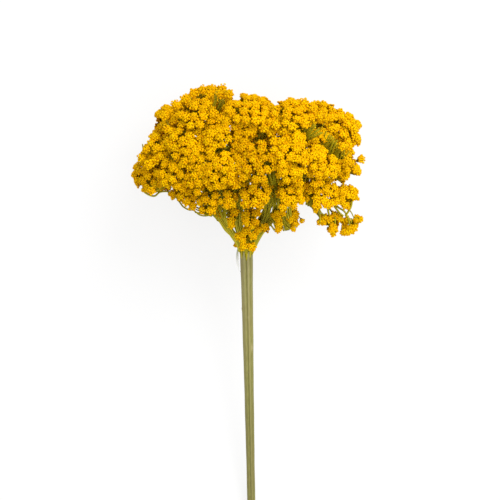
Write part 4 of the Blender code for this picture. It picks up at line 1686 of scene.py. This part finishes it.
    def pedicels(self, cluster: Cluster, ends: list[tuple[Array, Array]],
                 rng: np.random.Generator) -> Form:
        """The thin stalks that leave the cluster's own stalk and fork to its heads.

        Args:
            cluster: the cluster.
            ends: each pedicel's end and the way its head faces.
            rng: the source of chance.

        Returns:
            All of them as one form.
        """
        stalk = bezier(self.plan.stalk_curve(cluster), self.stalk_steps + 1)
        places = np.array([end for end, _ in ends])
        groups = max(1, round(len(ends) / self.group))
        hubs = places[np.linspace(0, len(places) - 1, groups).astype(int)]
        for _ in range(self.grouping_rounds):
            nearest = np.argmin(((places[:, None] - hubs[None]) ** 2).sum(2), axis=1)
            hubs = np.array([
                places[nearest == k].mean(0) if (nearest == k).any() else hubs[k]
                for k in range(groups)
            ])
        twig = Outline.ribbed(7, 3, 0.12)
        thread = Outline.ribbed(5, 1, 0.0)
        forms = []
        for k in range(groups):
            members = np.flatnonzero(nearest == k)
            if not len(members):
                continue
            step = int(rng.integers(round(self.fork * self.stalk_steps), self.stalk_steps))
            root, way = stalk[step], unit(stalk[step + 1] - stalk[step])
            joint = root + (hubs[k] - root) * rng.uniform(0.52, 0.68)
            reach = np.linalg.norm(joint - root)
            curve = [root, root + way * reach * 0.45, joint - unit(hubs[k] - root) * reach * 0.3,
                     joint]
            forms.append(sweep(bezier(curve, 7), np.linspace(0.40, 0.33, 7) * MM, twig,
                               Skin.STALK))
            for member in members:
                end, lean = ends[member]
                reach = np.linalg.norm(end - joint)
                curve = [joint, joint + unit(hubs[k] - root) * reach * 0.35,
                         end - lean * reach * 0.4, end]
                radius = rng.uniform(0.20, 0.28) * MM
                forms.append(sweep(bezier(curve, 5), np.linspace(radius * 1.15, radius, 5), thread,
                                   Skin.STALK))
        return Form.joined(forms)


# ---------------------------------------------------------------- branches and stem


@dataclass
class BranchWork:
    """The main branches with their stalks."""

    plan: Plan
    finishes: list[bpy.types.Material]
    foot_radius: float = 1.05 * MM
    branch_radius: float = 0.66 * MM
    stalk_radius: float = 0.46 * MM
    beside: float = 1.05 * MM
    closing: float = 0.30
    inside: float = 3.0 * MM
    gathered: float = 0.25
    steps: int = 36
    stalk_steps: int = 20

    def build(self) -> list[bpy.types.Object]:
        """Make one piece for each branch, in place of the model's own.

        Returns:
            The pieces.
        """
        pieces = []
        for branch in BRANCHES:
            curve = self.plan.branch_curve(branch)
            line = bezier(curve, self.steps)
            line[:, 0] += np.sin(np.linspace(0.0, math.pi, self.steps)) * branch.pull * MM
            inwards = (self.plan.crown - line[0]) * self.gathered
            root = line[0] - STEM_LINE * self.inside + inwards
            line = np.vstack([root, line])
            share = np.linspace(0.0, 1.0, len(line))
            radii = self.branch_radius * (1.0 - 0.15 * share)
            radii += (self.foot_radius - self.branch_radius) * np.exp(-share * 6.0)
            forms = [sweep(line, radii, Outline.ribbed(20, 5, 0.14), Skin.STALK)]
            for cluster in CLUSTERS:
                if cluster.branch == branch.name:
                    forms.append(self.stalk(cluster, line))
            piece = Form.joined(forms).to_piece(branch.name.replace("branch", "stalks"), "stalks",
                                                self.finishes)
            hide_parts(branch.name)
            pieces.append(piece)
        return pieces

    def stalk(self, cluster: Cluster, branch_line: Array) -> Form:
        """A cluster's stalk, which runs up close beside its branch before it leaves.

        Args:
            cluster: the cluster.
            branch_line: the branch's own line, from inside the stem outwards.

        Returns:
            The stalk's form.
        """
        free = bezier(self.plan.stalk_curve(cluster), self.stalk_steps)
        count = 1 + int(np.argmin(np.linalg.norm(branch_line - free[0], axis=1)))
        beside = branch_line[:count]
        way = unit(beside[-1] - beside[-2])
        ahead = free[8] - free[0]
        side = unit(ahead - way * ahead.dot(way))
        foot = np.clip(np.linspace(0.0, 1.0, count) / self.closing, 0.25, 1.0)
        beside = beside + np.outer(foot, side) * self.beside
        leave = np.clip(1.0 - np.arange(1, self.stalk_steps) / 6.0, 0.0, 1.0)
        free = free[1:] + np.outer(leave, side) * self.beside
        line = np.vstack([beside, free])
        taper = self.stalk_radius * np.linspace(1.15, 0.9, len(line))
        return sweep(line, taper, Outline.ribbed(12, 3, 0.12), Skin.STALK)


@dataclass(frozen=True)
class Mark:
    """A scar or a stain on the stem: a raised or sunk oval with its own colour."""

    y: float  # along the flower, in mm
    turn: float  # round the stem from the front, in degrees, with the right positive
    length: float
    width: float
    lift: float
    light: float
    tone: float


# each rib or groove: turn from the front in degrees, depth as a share of the radius, light, tan;
# the light is partly the rib's own colour and partly painted highlight, and painted shade in a groove
RIBS = (
    (-165.0, 0.00, 0.60, 0.1), (-150.0, 0.08, 0.20, 0.0), (-132.0, 0.00, 0.65, 0.5),
    (-117.0, 0.06, 0.30, 0.1), (-98.0, 0.00, 0.60, 0.3), (-82.0, 0.05, 0.35, 0.4),
    (-58.0, 0.00, 0.70, 0.6), (-42.0, 0.05, 0.45, 0.5), (-27.0, 0.00, 0.82, 0.1),
    (-13.0, 0.02, 0.60, 0.1), (-3.0, 0.16, 0.00, 0.0), (5.0, 0.06, 0.30, 0.3),
    (13.0, 0.00, 0.85, 0.9), (21.0, 0.04, 0.50, 0.4), (28.0, 0.00, 0.62, 0.0),
    (36.0, 0.07, 0.15, 0.0), (48.0, 0.00, 0.60, 0.0), (66.0, 0.05, 0.30, 0.1),
    (84.0, 0.00, 0.60, 0.2), (102.0, 0.07, 0.20, 0.0), (120.0, 0.00, 0.65, 0.4),
    (136.0, 0.06, 0.30, 0.1), (155.0, 0.00, 0.60, 0.3), (175.0, 0.07, 0.20, 0.0),
)

MARKS = (
    Mark(15.2, -78.0, 1.6, 1.3, 0.10, 0.15, 0.6),
    Mark(-1.0, -80.0, 2.6, 1.6, 0.12, 0.75, 0.5),
    Mark(-4.2, 8.0, 1.1, 0.6, 0.04, 1.25, 0.5),
    Mark(-17.5, 42.0, 3.6, 1.3, 0.09, 0.95, 1.0),
    Mark(-19.6, 70.0, 0.8, 0.7, 0.05, -0.6, 0.9),
    Mark(-28.0, -2.0, 1.2, 0.9, -0.05, -0.35, 0.9),
)


@dataclass
class Stem:
    """The grooved main stem, from its cut end to the crown."""

    plan: Plan
    finish: bpy.types.Material
    sides: int = 72
    stations: int = 150
    past_crown: float = 1.0 * MM
    middling: float = 0.47

    def build(self) -> bpy.types.Object:
        """Make the stem in place of the model's own.

        Returns:
            The piece.
        """
        t = np.linspace(0.0, 1.0, self.stations)
        plan = self.plan
        line = plan.cut + np.outer(t, plan.crown + STEM_LINE * self.past_crown - plan.cut)
        radii = plan.stem_cut_radius + (plan.crown_radius - plan.stem_cut_radius) * t**1.6
        radii = radii * (1.0 + 0.012 * np.sin(t * 21.0) + 0.01 * np.sin(t * 47.0 + 1.0))
        turns = (np.arange(self.sides) * 360.0 / self.sides + 90.0 + 180.0) % 360.0 - 180.0
        table = np.array(RIBS)
        depth, light, tan = (
            np.interp(turns, table[:, 0], table[:, k], period=360.0) for k in (1, 2, 3)
        )
        form = sweep(line, radii, Outline(1.0 - depth, light, tan), Skin.ONLY)
        self.fade(form, t)
        self.mark(form, line, radii, turns)
        piece = form.to_piece("stem_ribbed", "stem", [self.finish])
        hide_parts("stem")
        return piece

    def fade(self, form: Form, t: Array) -> None:
        """Let the ribs' colours fade and darken towards the cut end.

        Args:
            form: the stem, which is changed.
            t: the stations, from 0 at the cut end to 1 at the crown.
        """
        rows = len(t) * self.sides
        strength = np.repeat(0.35 + 0.65 * t**2.0, self.sides)
        dark = np.repeat(0.20 * np.clip((0.75 - t) / 0.35, 0.0, 1.0), self.sides)
        contrast = (form.light[:rows] - self.middling) * strength
        form.light[:rows] = self.middling - dark + contrast
        form.tone[:rows] *= strength

    def mark(self, form: Form, line: Array, radii: Array, turns: Array) -> None:
        """Shape and colour the scars.

        Args:
            form: the stem, which is changed.
            line: the middle of the stem at each station.
            radii: its radius there.
            turns: the sides' turns from the front, in degrees.
        """
        for mark in MARKS:
            for k, (point, radius) in enumerate(zip(line, radii)):
                away = (point[1] - self.plan.shift[1] - mark.y * MM) / (mark.length * MM / 2.0)
                if abs(away) > 1.5:
                    continue
                side = np.radians((turns - mark.turn + 180.0) % 360.0 - 180.0) * radius
                share = np.exp(-2.0 * (away**2 + (side / (mark.width * MM / 2.0)) ** 2))
                rows = slice(k * self.sides, (k + 1) * self.sides)
                form.points[rows] = point + (form.points[rows] - point) * (
                    1.0 + mark.lift * share)[:, None]
                form.light[rows] += (mark.light - form.light[rows]) * share
                form.tone[rows] += (mark.tone - form.tone[rows]) * share


@dataclass
class Bract:
    """The thin dry blade that hangs beside the stem, just under the crown."""

    plan: Plan
    finish: bpy.types.Material
    width: float = 0.55 * MM
    bowed: float = 0.25 * MM
    sides: int = 12
    stations: int = 24

    def build(self) -> bpy.types.Object:
        """Make the blade in place of the model's own.

        Returns:
            The piece.
        """
        low, high = (np.array(corner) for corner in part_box("bract"))
        middle = (low + high) / 2.0
        foot = np.array([low[0] + 0.55 * MM, high[1] - 0.1 * MM, high[2] - 0.15 * MM])
        tip = np.array([high[0] - 0.15 * MM, low[1] + 0.1 * MM, low[2] + 0.15 * MM])
        line = smooth_line(np.array([foot, middle - RIGHT * self.bowed, tip]), self.stations)
        t = np.linspace(0.0, 1.0, self.stations)
        widths = self.width * (0.25 + 0.75 * np.sin(math.pi * t**0.8)) * (1.0 - 0.85 * t**6)
        form = sweep(line, widths, Outline.ribbed(self.sides, 2, 0.0), Skin.ONLY, flat=0.22)
        paper = np.clip(t * 1.8, 0.0, 1.0)
        form.light[:len(t) * self.sides] = np.repeat(paper, self.sides)
        piece = form.to_piece("bract_blade", "bract", [self.finish])
        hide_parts("bract")
        return piece


# ---------------------------------------------------------------- stray twigs


@dataclass(frozen=True)
class Twig:
    """A thin stalk outside the clusters, through points in mm.

    A head's size over nothing puts a small head at its end.
    """

    knots: tuple
    radius: float = 0.30
    head: float = 0.0


TWIGS = (
    Twig(((-41.0, 50.9, 48), (-44.0, 49.3, 46), (-42.1, 47.5, 45), (-39.4, 46.8, 45),
          (-37.3, 48.3, 46), (-34.9, 48.7, 47), (-32.6, 48.4, 48), (-28.5, 47.1, 50)), 0.42),
    Twig(((-33.6, 48.2, 48), (-32.8, 47.2, 48.5), (-32.1, 46.4, 49)), 0.22, 0.45),
    Twig(((-30.2, 46.3, 50), (-28.5, 44.0, 50), (-27.2, 42.3, 49), (-24.9, 41.0, 49),
          (-22.9, 40.8, 49), (-20.2, 38.8, 48), (-16.9, 38.6, 47), (-13.6, 40.1, 45),
          (-11.1, 38.5, 42)), 0.34),
    Twig(((-3.0, 22.8, 28.5), (-4.2, 24.6, 29.5), (-5.0, 25.7, 30.5)), 0.28, 0.55),
    Twig(((40.1, 58.6, 45), (43.4, 60.3, 45), (45.4, 61.5, 45.5)), 0.28, 1.05),
    Twig(((40.1, 58.6, 45), (42.6, 59.8, 45), (43.2, 59.6, 45)), 0.28, 0.95),
    Twig(((-42.6, 52.4, 47), (-43.2, 51.5, 46), (-43.3, 51.0, 46)), 0.26, 0.75),
    Twig(((40.1, 58.6, 45), (43.0, 58.0, 44), (44.9, 57.5, 45)), 0.26, 0.8),
    Twig(((40.6, 43.1, 42), (43.1, 40.2, 43), (44.3, 38.0, 44), (46.1, 37.7, 45)), 0.26, 0.6),
    Twig(((18.3, 41.8, 45), (20.3, 39.3, 46), (21.8, 37.4, 47)), 0.26, 0.65),
    Twig(((35.0, 44.5, 47), (37.5, 42.2, 46), (40.3, 40.3, 45), (41.9, 37.4, 44),
          (42.6, 34.6, 43)), 0.42),
    Twig(((36.0, 42.6, 46.5), (38.2, 39.8, 45), (39.8, 38.6, 44)), 0.45),
    Twig(((33.2, 44.0, 48), (33.4, 40.8, 46), (34.0, 38.5, 45)), 0.50),
    Twig(((29.0, 43.0, 50), (30.3, 40.1, 47), (32.0, 38.6, 46)), 0.34),
    Twig(((29.4, 41.5, 48), (29.9, 38.5, 46), (29.9, 35.4, 45)), 0.40),
    Twig(((43.4, 45.2, 46), (42.9, 42.2, 45.5), (41.4, 39.5, 45), (40.6, 38.6, 44.5)), 0.50),
    Twig(((36.2, 38.0, 44), (36.4, 34.8, 43), (35.8, 32.0, 42)), 0.40),
    Twig(((42.0, 36.6, 44), (43.4, 37.4, 44), (43.1, 35.6, 44)), 0.26),
)


@dataclass
class StrayTwigs:
    """The few stalks and small heads that stick out of the clusters."""

    plan: Plan
    finishes: list[bpy.types.Material]
    seed: int = 8

    def build(self) -> bpy.types.Object:
        """Make them all as one piece.

        Returns:
            The piece.
        """
        rng = np.random.default_rng(self.seed)
        forms = []
        for twig in TWIGS:
            line = smooth_line(np.array(twig.knots) * MM + self.plan.shift, 5 * len(twig.knots))
            radii = np.linspace(twig.radius * 1.1, twig.radius * 0.85, len(line)) * MM
            forms.append(sweep(line, radii, Outline.ribbed(8, 3, 0.12), Skin.STALK))
            if twig.head:
                way = unit(unit(line[-1] - line[-2]) + FRONT * 0.8)
                turn = frame_about(way, rng.uniform(0.0, 6.3))
                at = line[-1] + way * FlowerHead.depth * twig.head * 0.9
                forms.append(FlowerHead().build(rng).placed(turn, at, twig.head, 0.2))
        return Form.joined(forms).to_piece("stray_twigs", "stalks", self.finishes)


@dataclass
class Fans:
    """The fans of thin stalks that cross the openings between the flower heads."""

    plan: Plan
    finishes: list[bpy.types.Material]
    depth: float = 5.2 * MM
    drop: float = 2.5 * MM
    row_drop: float = 2.4 * MM
    strand_drop: float = 1.6  # in mm
    strand_stray: float = 0.35  # in mm
    seed: int = 31

    def build(self) -> bpy.types.Object:
        """Make them all as one piece.

        Returns:
            The piece.
        """
        rng = np.random.default_rng(self.seed)
        forms = []
        for opening in OPENINGS:
            for row in range(2 if opening.stalks else 0):
                for share in np.linspace(-1.0, 1.0, opening.stalks + row):
                    forms.append(self.stalk(opening, share, row, rng))
        for bundle in BUNDLES:
            for row in range(bundle.rows):
                for share in np.linspace(-1.0, 1.0, bundle.stalks + row):
                    forms.append(self.strand(bundle, share, row, rng))
        return Form.joined(forms).to_piece("opening_stalks", "stalks", self.finishes)

    def strand(self, bundle: Bundle, share: float, row: int, rng: np.random.Generator) -> Form:
        """One stalk of a bundle.

        Args:
            bundle: the bundle.
            share: its place across the bundle, from -1 to 1.
            row: 0 in the upper row of the bundle, 1 in the lower one.
            rng: the source of chance.

        Returns:
            The stalk's form.
        """
        x, y, half, height = np.array(bundle.knots).T
        ways = np.gradient(np.stack([x, y], axis=1), axis=0)
        ways /= np.linalg.norm(ways, axis=1)[:, None]
        place = share + rng.normal(0.0, 0.12, len(x))
        knots = np.array([
            self.plan.under_eye(px - way[1] * across, py + way[0] * across,
                                (z - row * self.strand_drop
                                 + rng.normal(0.0, self.strand_stray)) * MM)
            for px, py, way, across, z in zip(x, y, ways, half * place, height)
        ])
        count = 3 * len(x)
        radii = np.linspace(1.0, 0.75, count) * rng.uniform(0.34, 0.48) * MM
        form = sweep(smooth_line(knots, count), radii, Outline.ribbed(7, 3, 0.14), Skin.STALK)
        # painted light: the bundle's light lifts its stalks' painted light, with each stalk's own
        # random step
        form.light = np.clip(form.light + bundle.light + rng.uniform(-0.25, 0.2), 0.0, 1.0)
        return form

    def stalk(self, opening: Opening, share: float, row: int,
              rng: np.random.Generator) -> Form:
        """One stalk of a fan.

        Args:
            opening: the opening it crosses.
            share: its place across the fan, from -1 to 1.
            row: 0 in the upper row of the fan, 1 in the lower one.
            rng: the source of chance.

        Returns:
            The stalk's form.
        """
        turn = math.radians(opening.turn) + rng.normal(0.0, 0.11)
        along = np.array([math.cos(turn), math.sin(turn), 0.0]) * opening.length * MM / 2.0
        side = np.array([-math.sin(turn), math.cos(turn), 0.0]) * opening.radius * MM
        side *= share + rng.normal(0.0, 0.16)
        surface, _ = self.plan.surface(opening.x, opening.y, self.depth)
        middle = self.plan.under_eye(opening.x, opening.y, surface[2] - self.depth)
        middle[2] += rng.uniform(-0.8, 0.4) * MM - row * self.row_drop
        knots = [middle - along + side * 0.6, middle + side, middle + along + side * 1.35]
        knots[0][2] -= self.drop
        knots[2][2] += rng.uniform(-0.2, 0.8) * MM
        radii = np.linspace(1.1, 0.85, 6) * rng.uniform(0.24, 0.36) * MM
        return sweep(smooth_line(np.array(knots), 6), radii, Outline.ribbed(6, 2, 0.12), Skin.STALK)


# ---------------------------------------------------------------- the studio


@dataclass
class Studio:
    """A pale table, soft lamps and the camera that looks straight down."""

    height: float = 1.0
    lens: float = 164.0
    sensor: float = 36.0
    look_x: float = 0.66 * MM
    look_y: float = 24.2 * MM
    lit: tuple = (0.0, 0.04, 0.03)  # where the lamps point: the flower's middle
    table_width: float = 6.0
    glow: float = 0.80
    ambient: float = 0.73

    def build(self, plan: Plan) -> None:
        """Make the table, the lamps, the world and the camera.

        Args:
            plan: the flower's plan, whose shift the camera follows.
        """
        self.table()
        self.lamps()
        self.world()
        data = bpy.data.cameras.new("camera")
        data.lens = self.lens
        data.sensor_width = self.sensor
        data.clip_start = 0.05
        camera = bpy.data.objects.new("camera", data)
        camera.location = (self.look_x + plan.shift[0], self.look_y + plan.shift[1], self.height)
        bpy.context.scene.collection.objects.link(camera)
        bpy.context.scene.camera = camera
        bpy.context.scene.view_settings.view_transform = "Standard"

    def table(self) -> None:
        """A wide pale table top."""
        bpy.ops.mesh.primitive_plane_add(size=self.table_width, location=(0.0, 0.0, 0.0))
        table = bpy.context.object
        table.name = "table_top"
        shader = Shader("table_white")
        grain = shader.noise(40.0 * MM, 5.0)
        colour = shader.mix(grain, (0.93, 0.93, 0.93), (0.91, 0.91, 0.91))
        shader.dress(base_color=colour, roughness=0.9)
        shader.surface.inputs["Specular IOR Level"].default_value = 0.0
        shader.brighten(shader.surface.outputs["BSDF"], shader.output.inputs["Surface"], self.glow)
        table.data.materials.append(shader.material)

    def lamp(self, name: str, place: tuple, power: float, size: float) -> None:
        """One square lamp that faces the flower.

        Args:
            name: the lamp's name.
            place: where it hangs, in metres.
            power: how strong it is, in watts.
            size: how wide it is, in metres.
        """
        data = bpy.data.lights.new(name, "AREA")
        data.energy = power
        data.size = size
        lamp = bpy.data.objects.new(name, data)
        lamp.location = place
        aim = Vector(self.lit) - Vector(place)
        lamp.rotation_euler = aim.to_track_quat("-Z", "Y").to_euler()
        bpy.context.scene.collection.objects.link(lamp)

    def lamps(self) -> None:
        """The key lamp beyond the flower's top, and a weaker one beside the stem."""
        self.lamp("key_lamp", place=(0.66, 0.85, 1.15), power=14.1, size=0.9)
        self.lamp("front_lamp", place=(0.60, -0.1, 1.3), power=6.0, size=1.1)

    def world(self) -> None:
        """A white world: full strength to the camera, softer as light."""
        world = bpy.data.worlds.new("studio_white")
        bpy.context.scene.world = world
        world.use_nodes = True
        network = Network(world.node_tree)
        background = network.tree.nodes["Background"]
        background.inputs["Color"].default_value = (1.0, 1.0, 1.0, 1.0)
        background.inputs["Strength"].default_value = self.ambient
        surface = network.tree.nodes["World Output"].inputs["Surface"]
        network.brighten(background.outputs["Background"], surface, 1.0)


def main() -> None:
    """Dress the model, light it and set up the camera."""
    logging.basicConfig(level=logging.INFO, format="%(message)s")
    plan = Plan(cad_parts["stem"])
    finishes = [FloretFinish().build(), CupFinish().build(), StalkFinish().build()]
    Corymbs(plan, finishes).build()
    BranchWork(plan, finishes).build()
    StrayTwigs(plan, finishes).build()
    Fans(plan, finishes).build()
    Stem(plan, StemFinish().build()).build()
    Bract(plan, BractFinish().build()).build()
    Studio().build(plan)


if __name__ == "__main__":
    main()
